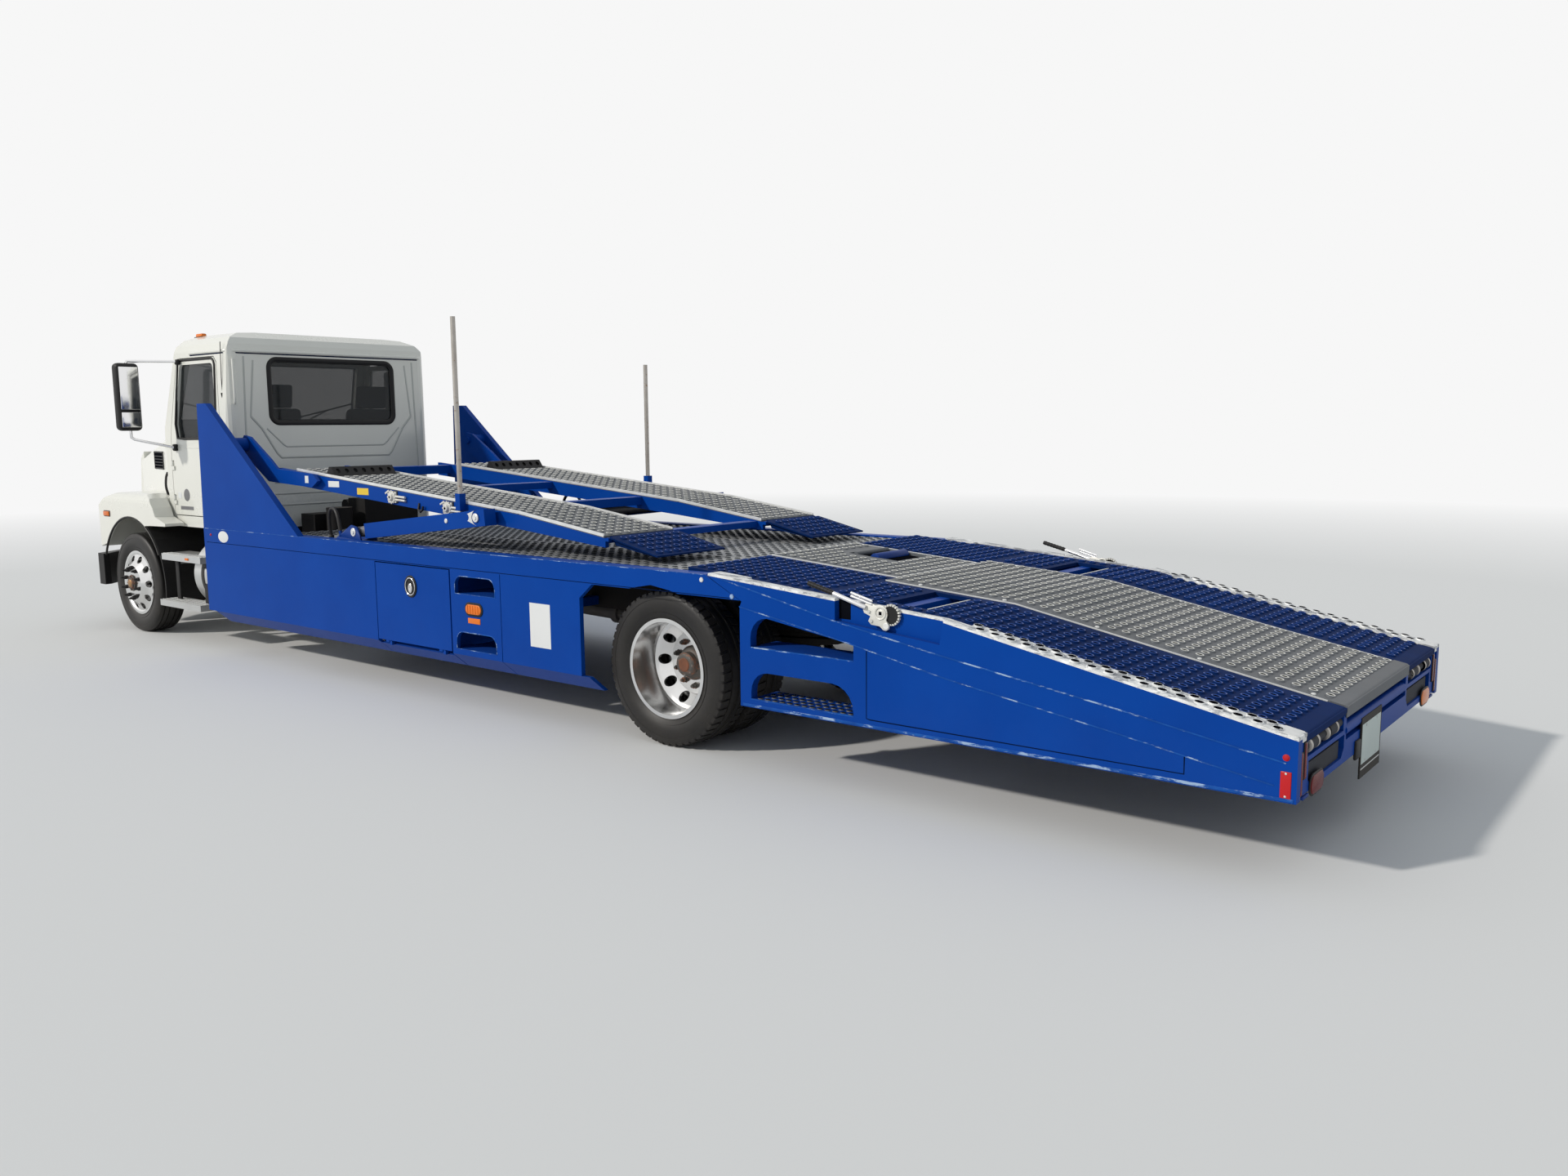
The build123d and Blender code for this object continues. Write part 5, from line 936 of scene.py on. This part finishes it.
# ---------------------------------------------------------------- light edges of the plates: worn zinc and painted highlight
def edge_plate(name, line, xs, above, below, ys, bevel, body="chassis"):
    """zinc edge that follows a deck's line; its light colour is worn zinc and painted highlight"""
    outline = [(x, line(x) + above) for x in xs] + [(x, line(x) - below) for x in reversed(xs)]
    put(plate(name, outline, *ys, bevel, 1), edge, body)


for s, side in hands:
    for name, y, wide, xs, lift in (("middle_edge_", 0.582, 0.0032, (-1.14, -1.95, -3.5), 0.0012),
                                    ("hatch_edge_", 0.442, 0.0085, (-0.205, -1.125), 0.0016),
                                    ("strip_edge_", 1.178, 0.0032, (-2.075, -3.5), 0.0005)):
        edge_plate(name + side, deck_line, xs, lift, 0.006, span(s, y - 0.0025, y + wide), 0.0006)
    for name, x in (("front", -0.2035), ("rear", -1.126)):
        z = deck_line(x)
        put(box("hatch_" + name, (x - 0.006, x + 0.006, 0.0, 0.442, z - 0.006, z + 0.0018), 0.0006, 1, s), edge)
    for name, low, high in (("outer_", 1.055, 1.0655), ("inner_", 0.4495, 0.458)):
        edge_plate("track_edge_" + name + side, upper_line, (4.155, 1.44, 0.63), 0.013, 0.008, span(s, low, high),
                   0.002, "upper_deck")
    for number in range(5):
        x = -1.35 - number * 0.52
        put(aimed("plate_bolt_%d_%s" % (number, side), [(-0.002, 0.012), (0.003, 0.0115), (0.006, 0.008),
                                                       (0.007, 0.0)], (x, s * 0.552, deck_line(x)), "X",
                  math.pi / 2, 14), edge)

# ---------------------------------------------------------------- lever winches
winches = []
winch_x, winch_z = -1.59, 0.95
tooth_x, tooth_z = -1.641, 0.9436
cheek_outline = [(winch_x + a, winch_z + b) for a, b in (
    (0.108, 0.016), (0.087, 0.048), (0.051, 0.044), (0.031, 0.036), (0.012, 0.041), (-0.012, 0.038), (-0.034, 0.023),
    (-0.041, -0.004), (-0.032, -0.034), (-0.052, -0.055), (-0.05, -0.074), (-0.034, -0.085), (-0.016, -0.083),
    (0.006, -0.066), (0.057, -0.062), (0.075, -0.045), (0.062, -0.02), (0.1, -0.006))]
for s, side in hands:
    def at(name, profile, x=winch_x, z=winch_z):
        return turned(name + side, profile, x, 1.261, z, s, 40)

    winches.append(put(at("winch_body_", [(0.0, 0.036), (0.026, 0.036), (0.026, 0.02), (0.034, 0.0195),
                                          (0.0355, 0.017), (0.0355, 0.0)]), cast))
    put(at("tooth_disc_", [(0.006, 0.046), (0.021, 0.046), (0.023, 0.043), (0.023, 0.0)], tooth_x, tooth_z),
        (black_plastic, "winch_white"))
    tooth = box("tooth", (tooth_x - 0.0055, tooth_x + 0.0055, 1.267, 1.283, tooth_z + 0.042, tooth_z + 0.0545), 0.0015,
                1, s)
    put(wreath(tooth, 20, tooth_x, s * 1.275, tooth_z, "teeth_" + side), cast)
    put(plate("winch_cheek_" + side, cheek_outline, *span(s, 1.285, 1.2935), 0.0025), cast)
    put(at("winch_rim_", [(0.03, 0.034), (0.036, 0.033), (0.038, 0.03), (0.036, 0.026), (0.03, 0.0255)]), cast)
    # dark square: painted shade in the winch's socket
    put(box("square_hole", (-1.599, -1.581, 1.29, 1.2972, 0.941, 0.959), 0.001, 1, s), socket_hole_shade)
    for number, (x, z, radius, steps, metal) in enumerate((
            (-1.523, 0.953, 0.0095, 6, zinc), (-1.537, 0.906, 0.0095, 6, zinc), (-1.624, 0.888, 0.018, 24, edge_zinc))):
        put(turned("winch_bolt_%d_%s" % (number, side), [(0.0, radius), (0.005, radius), (0.0075, radius * 0.8),
                                                        (0.0075, 0.0)], x, 1.2925, z, s, steps), (metal, "winch_white"))
    put(tube("lever_" + side, [(-1.505, 1.299, 0.972), (-1.48, 1.304, 0.98), (-1.28, 1.304, 1.037)], 0.0115, sides=6,
             s=s), shiny)
    for number, z in enumerate((0.998, 1.014)):
        put(tube("lever_rod_%d_%s" % (number, side), [(-1.54, 1.292, z - 0.008), (-1.415, 1.298, z + 0.026)], 0.0065,
                 s=s), shiny)
    put(tube("lever_grip_" + side, [(-1.31, 1.304, 1.0295), (-1.152, 1.304, 1.0695)], 0.0125, sides=6, s=s), black)
    for number in range(7):
        x = -1.296 + number * 0.021
        z = 1.0331 + number * 0.0053
        put(tube("grip_ring_%d_%s" % (number, side), [(x, 1.304, z), (x + 0.008, 1.304, z + 0.002)], 0.0138, sides=5,
                 s=s), black)
    # dark slot: painted shade in the recess behind the lever
    put(box("recess_slot", (-1.387, -1.314, 1.2605, 1.2625, 0.895, 1.0), 0.0008, 1, s), (hole_dark, "body_blue"))
    for number, (x, z) in enumerate(((-1.715, 0.937), (-1.525, 0.892))):
        put(rod("strap_bar_%d_%s" % (number, side), (x, s * 0.645, z), (x, s * 1.085, z), 0.017), zinced)
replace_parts(winches[0], "lever_winches")

# ---------------------------------------------------------------- cab: gaskets, seams and ribs
cab_back = 5.315
roof_z = 2.546


def rounded_box(y, z_low, z_high, radius):
    """corner-rounded box in y and height"""
    corners = ((y - radius, z_high - radius, 0), (radius - y, z_high - radius, 90), (radius - y, z_low + radius, 180),
               (y - radius, z_low + radius, 270))
    return [point for cy, cz, begin in corners for point in arc(cy, cz, radius, begin, begin + 90, 8)]


def cab_side(z):
    """y of the cab's side at a height"""
    return 1.0 - 0.0421 * max(z - 1.8, 0)


def on_back(name, points, radius):
    """half-sunk rib on the cab's back, its points in y and height; its darker white is painted shade along the rib"""
    put(tube(name, [(cab_back + 0.001, y, z) for y, z in points], radius, squeeze=(0, cab_back + shift, 0.5)), painted_shade_white)


def there_and_back(points):
    """points on the left, then their mirror images on the way back"""
    return [*points, *((-y, z) for y, z in reversed(points))]


put(tube("rear_gasket", [(cab_back, y, z) for y, z in rounded_box(0.616, 1.929, 2.486, 0.08)], 0.019, closed=True,
         squeeze=(0, cab_back + shift, 0.45), sides=5), black)
put(tube("rear_gasket_inner", [(cab_back + 0.006, y, z) for y, z in rounded_box(0.598, 1.947, 2.468, 0.066)], 0.009,
         closed=True), gum)
roof_path = [(5.98, cab_side(roof_z)), *arc(5.41, 0.872, 0.095, 90, 180, 6)]
roof_path += [(x, -y) for x, y in reversed(roof_path)]
put(tube("roof_lip", [(x, y, roof_z) for x, y in roof_path], 0.016, sides=5), white)
# dark line under the roof lip: painted shade
put(tube("roof_seam", [(x, y, roof_z - 0.02) for x, y in roof_path], 0.0055, sides=3), (seam_dark, "black_trim"))
on_back("back_press_outer", there_and_back([(0.80, 1.99), (0.705, 1.885), (0.575, 1.665), (0.54, 1.63)]), 0.011)
on_back("back_press_inner", there_and_back([(0.66, 1.885), (0.51, 1.74), (0.485, 1.725)]), 0.008)
for s, side in hands:
    for number, rib in enumerate((((0.752, 2.47), (0.80, 1.99)), ((0.835, 2.5), (0.865, 1.3)))):
        on_back("back_rib_%d_%s" % (number, side), [(s * y, z) for y, z in rib], 0.009)
for number in range(4):
    z = 1.21 + number * 0.1
    on_back("back_swage_%d" % number, [(0.62, z), (-0.62, z)], 0.009)

# ---------------------------------------------------------------- doors, mirrors, hood sides and steps
window_line = [(5.545, 1.84), (5.545, 2.41), *arc(5.615, 2.42, 0.07, 180, 90, 5), *arc(6.165, 2.44, 0.05, 90, 15, 4),
               (6.285, 1.93), (6.25, 1.803), (6.12, 1.798), (5.62, 1.803), (5.565, 1.812)]
door_boxes = (
    ("handle_cup", (5.515, 5.705, 0.998, 1.004, 1.548, 1.628), 0.0025, 2, black),
    ("door_label", (6.05, 6.29, 0.999, 1.0012, 1.162, 1.194), 0.0005, 1, label),
    ("door_sticker", (6.262, 6.322, 0.999, 1.0012, 1.262, 1.318), 0.0005, 1, sheet),
    ("mirror_glass", (6.331, 6.337, 1.272, 1.433, 2.06, 2.43), 0.022, 3, bright_trim),
    ("mirror_glass_small", (6.331, 6.338, 1.272, 1.433, 1.905, 2.035), 0.022, 3, bright_trim),
    ("mirror_clamp_upper", (6.15, 6.2, 0.972, 1.012, 2.452, 2.5), 0.012, 3, black),
    ("mirror_clamp_lower", (6.262, 6.318, 0.998, 1.03, 1.69, 1.752), 0.012, 3, black))
hood_boxes = (
    ("latch_foot", (6.575, 6.63, 0.925, 0.966, 1.24, 1.285), 0.006, 2, black),
    ("fender_marker_rim", (7.328, 7.462, 1.184, 1.194, 1.066, 1.124), 0.006, 2, black),
    ("fender_marker", (7.336, 7.454, 1.184, 1.203, 1.073, 1.117), 0.006, 3, amber),
    ("turn_lamp", (7.66, 7.69, 1.055, 1.088, 0.9, 1.06), 0.008, 2, amber))
# the vent's near-black back is painted shade behind its blades
vent_boxes = [
    ("filler", (6.736, 6.802, 0.893, 0.9085, 1.516, 1.669), 0.0, white),
    ("back", (6.8, 7.165, 0.9, 0.9095, 1.517, 1.672), 0.0, (hole_dark, "black_trim")),
    ("frame_low", (6.797, 7.17, 0.9, 0.916, 1.511, 1.525), 0.003, black),
    ("frame_high", (6.797, 7.17, 0.9, 0.916, 1.665, 1.679), 0.003, black),
    ("frame_rear", (6.795, 6.811, 0.9, 0.916, 1.511, 1.679), 0.003, black),
    ("frame_front", (7.155, 7.171, 0.9, 0.916, 1.511, 1.679), 0.003, black)]
vent_boxes += [("blade_%d" % i, (6.803, 7.16, 0.905, 0.9155, 1.544 + i * 0.028, 1.553 + i * 0.028), 0.002, black)
               for i in range(4)]
vent_lean = math.atan(0.2327)
for s, side in hands:
    door = "door_" + side
    put(tube("window_gasket_" + side, [(x, cab_side(z) + 0.001, z) for x, z in window_line], 0.011, closed=True, s=s),
        gum, door)
    put(tube("door_handle_" + side, [(5.53, 1.002, 1.585), (5.54, 1.034, 1.588), (5.68, 1.034, 1.592),
                                     (5.69, 1.002, 1.592)], 0.0125, sides=5, bends=True, s=s), black, door)
    put(turned("door_lock_" + side, [(0.0, 0.014), (0.004, 0.014), (0.006, 0.011), (0.006, 0.0)], 5.74, 1.0, 1.588, s,
               20), bright_trim, door)
    put(turned("door_badge_" + side, [(0.0, 0.055), (0.0014, 0.055), (0.002, 0.052), (0.002, 0.0)], 6.16, 1.0, 1.296, s,
               32), label, door)
    put(tube("door_crease_" + side, [(5.5, 1.0, 1.72), (6.36, 1.0, 1.72)], 0.006, squeeze=(1, s * 1.0, 0.5), s=s),
        white, door)
    housing = box("mirror_housing", (6.334, 6.448, 1.252, 1.453, 1.874, 2.464), 0.04, 5, s)
    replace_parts(put(housing, black, door), "mirror_" + side)
    put(tube("mirror_arm_upper_" + side, [(6.39, 1.345, 2.462), (6.39, 1.335, 2.482), (6.37, 1.28, 2.482),
                                          (6.175, 0.99, 2.482)], 0.0125, sides=6, s=s), bright_trim, door)
    put(tube("mirror_arm_lower_" + side, [(6.39, 1.345, 1.876), (6.388, 1.343, 1.815), (6.38, 1.32, 1.797),
                                          (6.288, 1.012, 1.72)], 0.0125, sides=6, s=s), bright_trim, door)
    for body, boxes in ((door, door_boxes), ("hood", hood_boxes)):
        for name, extent, bevel, steps, look in boxes:
            put(box(name, extent, bevel, steps, s), look, body)
    # the louvred vent follows the hood's slope
    for title, extent, bevel, look in vent_boxes:
        piece = box("vent_" + title, extent, bevel, 1, s)
        piece.data.transform(swing(-s * vent_lean, "Z", 6.74, s * 0.9075))
        put(piece, look, "hood")
    put(tube("hood_latch_" + side, [(6.6, 0.945, 1.26), (6.605, 0.962, 1.29), (6.648, 0.952, 1.44),
                                    (6.655, 0.93, 1.49)], 0.011, sides=5, bends=True, s=s), gum, "hood")
    put(tube("arch_lip_" + side, [(x, 1.184, z) for x, z in arc(6.93, axle, 0.613, 22, 152, 22)], 0.01, sides=5, s=s),
        gum, "hood")
    # steps: perforated treads, their lamp, and the tanks' straps and caps
    for name, xs, y_low, y_high, z in (("upper_", (5.49, 6.17), 1.17, 1.23, 0.79),
                                       ("lower_", (5.55, 6.25), 1.085, 1.225, 0.37)):
        fit(grip_field("cab_tread_" + name + side, flat(z), xs, span(s, y_low, y_high), 0.04, zinc_buttons,
                       rings=((0.013, -0.0005), (0.0105, 0.004), (0.0065, 0.0006)), sides=8), "chassis")
    for number, x in enumerate((5.56, 6.08)):
        put(box("step_post_%d" % number, (x - 0.002, x + 0.062, 1.138, 1.158, 0.3705, 0.7345), 0.003, s=s), black)
    put(box("step_marker", (5.69, 5.75, 1.248, 1.256, 0.752, 0.772), 0.003, 3, s), amber)
    for number, x in enumerate((4.83, 5.22, 5.6)):
        put(rod("tank_strap_%d_%s" % (number, side), (x, s * 0.85, 0.615), (x + 0.05, s * 0.85, 0.615), 0.3185, 64,
                0.001), gum)
    put(aimed("fuel_cap_" + side, [(-0.03, 0.05), (0.01, 0.05), (0.014, 0.046), (0.014, 0.0)],
              (5.05, s * 1.07, 0.838), "X", s * math.radians(45), 24, s), (brushed, "tank_aluminium"))

# ---------------------------------------------------------------- front end: radiator, headlamps, screen and bumper
def facing(name, profile, x, y, z, look, body, steps=32):
    """turned piece whose axis looks ahead"""
    put(aimed(name, profile, (x, y, z), "Z", -math.pi / 2, steps), look, body)


# near-black radiator core, which also paints the shade behind the grille
put(box("radiator", (7.58, 7.635, -0.46, 0.46, 0.83, 1.5)), (hole_dark, "chassis_black"))
for number, z in enumerate((0.8, 1.49)):
    put(box("radiator_tank_%d" % number, (7.56, 7.65, -0.48, 0.48, z, z + 0.06), 0.015, 3),
        (black_plastic, "chassis_black"))
for number in range(24):
    z = 0.872 + number * 0.026
    put(box("radiator_fin_%d" % number, (7.634, 7.641, -0.45, 0.45, z, z + 0.004), 0), (engine_iron, "engine_iron"))
surround = [(7.842, 0.535, 0.86), (7.848, 0.535, 1.25), (7.816, 0.535, 1.53), (7.812, 0.515, 1.553)]
surround += [(x, -y, z) for x, y, z in reversed(surround)]
put(tube("grille_surround", surround, 0.012, sides=5), (chrome, "wheel_alloy"), "hood")
lamp_y, lamp_z = 0.9285, 0.98
for s, side in hands:
    loop = [(7.684, lamp_y + a, lamp_z + b) for a, b in ((0.15, 0.09), (-0.15, 0.09), (-0.15, -0.09), (0.15, -0.09))]
    put(tube("headlamp_bezel_" + side, loop, 0.011, closed=True, sides=5, s=s), bright_lamp, "hood")
    for number, y in enumerate((0.862, 0.985)):
        facing("headlamp_bowl_%d_%s" % (number, side), [(-0.006, 0.058), (0.004, 0.058), (0.006, 0.054),
                                                       (-0.001, 0.045), (-0.005, 0.025), (-0.006, 0.0)],
               7.682, s * y, lamp_z, bright_lamp, "hood")
        facing("headlamp_bulb_%d_%s" % (number, side), [(-0.01, 0.014), (0.004, 0.014), (0.009, 0.01), (0.0115, 0.0)],
               7.682, s * y, lamp_z, clear, "hood", 20)
    put(tube("hood_crease_" + side, [(6.56, 0.5, 1.921), (7.74, 0.4, 1.679)], 0.011, sides=5, s=s), white, "hood")
    facing("fog_lamp_rim_" + side, [(-0.02, 0.062), (0.006, 0.062), (0.009, 0.056), (0.004, 0.05), (0.004, 0.0)], 7.93,
           s * 0.44, 0.55, black, "chassis")
    facing("fog_lamp_" + side, [(0.0, 0.05), (0.006, 0.048), (0.009, 0.03), (0.01, 0.0)], 7.928, s * 0.44, 0.55, clear,
           "chassis")
    # wipers lie on the screen's foot
    for part, points, radius in (("arm_", ((6.515, 0.33, 1.93), (6.495, 0.4, 1.955), (6.452, 0.62, 2.07)), 0.007),
                                 ("blade_", ((6.475, 0.3, 1.99), (6.431, 0.86, 2.125)), 0.0075)):
        put(tube("wiper_" + part + side, [(x, s * y, z) for x, y, z in points], radius, sides=3), gum)


def screen_x(z):
    """station of the windscreen's frame at a height"""
    return 6.49 - 0.3306 * (z - 1.925)


screen = there_and_back([(-0.88, 1.965), (-0.845, 2.48)])
put(tube("screen_gasket", [(screen_x(z) + 0.001, y, z) for y, z in screen], 0.0125, closed=True), gum)
put(box("bumper_sheet", (7.929, 7.9315, -0.16, 0.16, 0.5, 0.64), 0.0008, 1), sheet)
# dark groove line on the bumper: painted shade
put(box("bumper_groove", (7.9295, 7.9308, -0.555, 0.555, 0.672, 0.678), 0), (seam_dark, "black_trim"))

# ---------------------------------------------------------------- cab: small pieces at the rear corner and on the roof
put(tube("grab_handle", [(5.322, 0.93, 2.1), (5.27, 0.955, 2.105), (5.262, 0.958, 2.15), (5.262, 0.958, 2.42),
                         (5.27, 0.955, 2.465), (5.322, 0.925, 2.47)], 0.0105, sides=5), white)
put(tube("antenna", [(5.43, 0.978, 2.17), (5.42, 0.985, 2.3), (5.4, 0.985, 2.62)], 0.0032, sides=3), gum)
put(tube("antenna_foot", [(5.43, 0.97, 2.12), (5.43, 0.982, 2.19)], 0.011), black)
for number, (x, y, z) in enumerate(((6.1, 0.8, 2.695), (6.19, 0.32, 2.668), (6.2, 0.0, 2.666), (6.19, -0.32, 2.668),
                                    (6.1, -0.8, 2.695))):
    put(box("roof_marker_foot_%d" % number, (x - 0.07, x + 0.07, y - 0.03, y + 0.03, z - 0.03, z + 0.008), 0.006),
        black)
    put(box("roof_marker_%d" % number, (x - 0.06, x + 0.055, y - 0.024, y + 0.024, z, z + 0.036), 0.012, 3), amber)

# ---------------------------------------------------------------- upper deck: blank labels, winch wheels and hooks
for name, x, z, long, high, y, look in (("plate_label", 3.925, 1.487, 0.05, 0.056, 1.1165, sheet),
                                        ("beam_label", 3.63, 1.455, 0.15, 0.046, 1.0655, sheet),
                                        ("warning_label", 3.24, 1.409, 0.15, 0.05, 1.0655,
                                         (blank_yellow, "cab_white"))):
    both(box(name, (x - long / 2, x + long / 2, y - 0.001, y + 0.0008, z - high / 2, z + high / 2), 0.0006, 1), look,
         "upper_deck")
for number, x in enumerate((2.85, 2.19)):
    z = upper_line(x) - 0.062
    wheel = turned("winch_wheel", [(-0.005, 0.043), (0.006, 0.043), (0.008, 0.04), (0.008, 0.024), (0.02, 0.024),
                                   (0.0225, 0.021), (0.0225, 0.0)], x, 1.077, z, 1, 32)
    tooth = box("tooth", (x - 0.006, x + 0.006, 1.078, 1.085, z + 0.038, z + 0.05), 0.0015, 1)
    wheel = joined("winch_wheel_%d" % number, [wheel, wreath(tooth, 12, x, 1.08, z, "winch_teeth")])
    both(wheel, cast, "upper_deck")
    both(plate("winch_pawl_%d" % number, [(x + 0.03, z + 0.052), (x + 0.075, z + 0.03), (x + 0.07, z + 0.018),
                                          (x + 0.024, z + 0.04)], 1.079, 1.086, 0.0015, 1), cast, "upper_deck")
    both(box("winch_frame_%d" % number, (x - 0.06, x + 0.06, 1.0655, 1.0685, z - 0.045, z + 0.045), 0.002, 1),
         (black_plastic, "winch_white"), "upper_deck")
    for part, low in enumerate((-0.018, 0.006)):
        both(rod("winch_spool_%d_%d" % (number, part), (x - 0.05, 1.078, z + low), (x - 0.165, 1.078, z + low - 0.006),
                 0.0085, 12), cast, "upper_deck")
    # dark disc: painted shade in the winch wheel's socket
    both(turned("winch_socket_%d" % number, [(0.0, 0.011), (0.0012, 0.011), (0.0012, 0.0)], x, 1.0995, z, 1, 4),
         (hole_dark, "black_trim"), "upper_deck")
both(tube("beam_hook", [(2.53, 1.067, 1.345), (2.53, 1.078, 1.3), (2.5, 1.082, 1.285), (2.475, 1.08, 1.3),
                        (2.472, 1.079, 1.325)], 0.008), black, "upper_deck")

# ---------------------------------------------------------------- struts: pin plates, pins and brackets
pin_x, pin_z = 1.735, 1.281
egg = [(2 * pin_x - x, z) for x, z in arc(pin_x + 0.02, pin_z, 0.052, 100, 260, 9)
       + arc(pin_x - 0.085, pin_z, 0.024, 285, 435, 6)]
strut_pins = (
    ("pin", pin_x - 0.012, 1.19, pin_z, 28, (
        (0.003, 0.03), (0.009, 0.03), (0.011, 0.027), (0.011, 0.015), (0.017, 0.014), (0.017, 0.0))),
    ("bolt", 2.05, 1.19, 1.247, 24, ((-0.002, 0.016), (0.006, 0.016), (0.008, 0.013), (0.008, 0.0))),
    ("foot_pin", 3.16, 1.211, 1.118, 28, (
        (-0.002, 0.031), (0.004, 0.031), (0.006, 0.028), (0.006, 0.015), (0.012, 0.014), (0.012, 0.0))))
pin_look = (edge_zinc, "winch_white")
for s, side in hands:
    sleeve = "strut_sleeve_" + side
    put(plate("strut_pin_plate_" + side, egg, *span(s, 1.1895, 1.1945), 0.002, 1), pin_look, sleeve)
    for name, x, y, z, steps, profile in strut_pins:
        put(turned("strut_%s_%s" % (name, side), profile, x, y, z, s, steps), pin_look,
            "chassis" if name == "foot_pin" else sleeve)

brackets = copied(nodes["strut_brackets"])
brackets.name = "strut_brackets_finish"
brackets.parent = None
for key in list(brackets.keys()):
    del brackets[key]
outward(brackets)
brackets.data.materials.clear()
brackets.data.materials.append(frame_blue)
brackets.data.materials.append(rubber)
for face in brackets.data.polygons:
    x, y, z = face.center
    x -= shift
    face.material_index = int(abs(y) > 1.125 and x > 3.325 and (z > 1.12 or x > 3.42) or z > 1.19)
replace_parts(fit(smooth(brackets, 40), "chassis"), "strut_brackets")

# ---------------------------------------------------------------- seats
seam_at, seam_width = 0.6, 0.12
crown, seam_depth = 0.02, 0.012
seat_set = []
for number, y in enumerate((0.48, -0.48)):
    for name, low, high, lean, fill in (
            ("cushion", (5.555, y - 0.245, 1.318), (6.055, y + 0.245, 1.452), 0.0, 0.7),
            ("back", (5.55, y - 0.235, 1.44), (5.665, y + 0.235, 2.06), -0.105, 0.75),
            ("rest", (5.45, y - 0.145, 2.065), (5.535, y + 0.145, 2.27), -0.03, 0.8)):
        size = [b - a for a, b in zip(low, high)]
        middle = [(a + b) / 2 for a, b in zip(low, high)]
        pad = cube("seat_%s_%d" % (name, number), (middle[0] + shift, *middle[1:]), size)
        edited(pad, (bpy.ops.mesh.subdivide, {"number_cuts": 5}))
        for vertex in pad.data.vertices:
            place = (vertex.co.x - shift, vertex.co.y, vertex.co.z)
            across = [(a - b) / wide * 2 for a, b, wide in zip(place, middle, size)]
            along, aside = abs(across[0]), abs(across[1])
            stitched = abs(aside - seam_at) < seam_width
            if name == "cushion":
                vertex.co.z -= crown * (along ** 4 + aside ** 4) * (across[2] > 0)
                vertex.co.z -= seam_depth * stitched * (across[2] > 0.9)
                vertex.co.y = middle[1] + (vertex.co.y - middle[1]) * (1 - 0.03 * (1 - along))
            else:
                vertex.co.x -= crown * aside ** 4 * (across[0] > 0)
                vertex.co.x -= seam_depth * stitched * (across[0] > 0.9)
                vertex.co.x += lean * (across[2] + 1) / 2
        modifier = pad.modifiers.new("pad", "SUBSURF")
        modifier.levels = modifier.render_levels = 2
        smooth(harden(pad), 60)
        seat_set.append(put(pad, (seat_cloth, "seat_fabric")))
    put(box("seat_pedestal_%d" % number, (5.605, 5.975, y - 0.175, y + 0.175, 1.0565, 1.31), 0.02, 3),
        (black_plastic, "cab_plastic"))
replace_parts(seat_set[0], "seats")

# ---------------------------------------------------------------- camera, light and floor
picture_width, focal_length = 1920, 1497.2
eye = (-4.9569, 6.224, 1.8728)
yaw, pitch, roll = (math.radians(degrees) for degrees in (-51.12, 7.583, -0.506))
ahead = Vector((math.cos(yaw) * math.cos(pitch), math.sin(yaw) * math.cos(pitch), -math.sin(pitch)))
right = Vector((math.sin(yaw), -math.cos(yaw), 0))
up = right.cross(ahead)
right, up = math.cos(roll) * right + math.sin(roll) * up, math.cos(roll) * up - math.sin(roll) * right
optics = bpy.data.cameras.new("camera")
optics.sensor_width = 36
optics.lens = focal_length / picture_width * optics.sensor_width
optics.clip_end = 300
camera = bpy.data.objects.new("camera", optics)
bpy.context.scene.collection.objects.link(camera)
aim = Matrix((right, up, -ahead)).transposed()
camera.matrix_world = Matrix.Translation((eye[0] + shift, *eye[1:])) @ aim.to_4x4()
bpy.context.scene.camera = camera


def mixed(tree, factor, first, second, target):
    """mixes two shaders into a tree's output"""
    mix = node(tree, "ShaderNodeMixShader")
    for socket, value in zip(mix.inputs, (factor, first.outputs[0], second.outputs[0])):
        tree.links.new(value, socket)
    tree.links.new(mix.outputs[0], tree.nodes[target].inputs[0])


pale = (0.93, 0.93, 0.93, 1)
world = bpy.data.worlds.new("studio")
bpy.context.scene.world = world
world.use_nodes = True
tree = world.node_tree
light = tree.nodes["Background"]
light.inputs["Color"].default_value = (0.86, 0.93, 1.0, 1)
light.inputs["Strength"].default_value = 0.52
path = node(tree, "ShaderNodeLightPath").outputs
either = maths(tree, "MAXIMUM", path["Is Camera Ray"], path["Is Transmission Ray"])
either = maths(tree, "MAXIMUM", either, path["Is Glossy Ray"])
mixed(tree, either, light, node(tree, "ShaderNodeBackground", Color=pale, Strength=1.0), "World Output")

sun_light = bpy.data.lights.new("sun", "SUN")
sun_light.energy = 2.35
sun_light.angle = math.radians(3)
sun_light.color = (1.0, 0.96, 0.9)
sun = bpy.data.objects.new("sun", sun_light)
bpy.context.scene.collection.objects.link(sun)
sun.rotation_euler = Vector((-0.42, -0.75, -0.52)).to_track_quat("-Z", "Y").to_euler()

deselect()
bpy.ops.mesh.primitive_circle_add(vertices=96, radius=60, fill_type="NGON", location=(0, 0, 0))
floor = bpy.context.object
floor.name = "floor"
ground, tree, shader = new_material("floor", {"Base Color": (0.72, 0.72, 0.71, 1), "Roughness": 0.9})
reach = node(tree, "ShaderNodeVectorMath", operation="LENGTH")
tree.links.new(node(tree, "ShaderNodeTexCoord").outputs["Object"], reach.inputs[0])
# the floor fades to the backdrop between 11 and 25 metres
fade_start, fade_width = 11.0, 14.0
fade = maths(tree, "MULTIPLY", maths(tree, "SUBTRACT", reach.outputs["Value"], fade_start), 1 / fade_width, clamp=True)
mixed(tree, fade, shader, node(tree, "ShaderNodeEmission", Color=pale), "Material Output")
floor.data.materials.append(ground)
bpy.context.scene.view_settings.view_transform = "Standard"
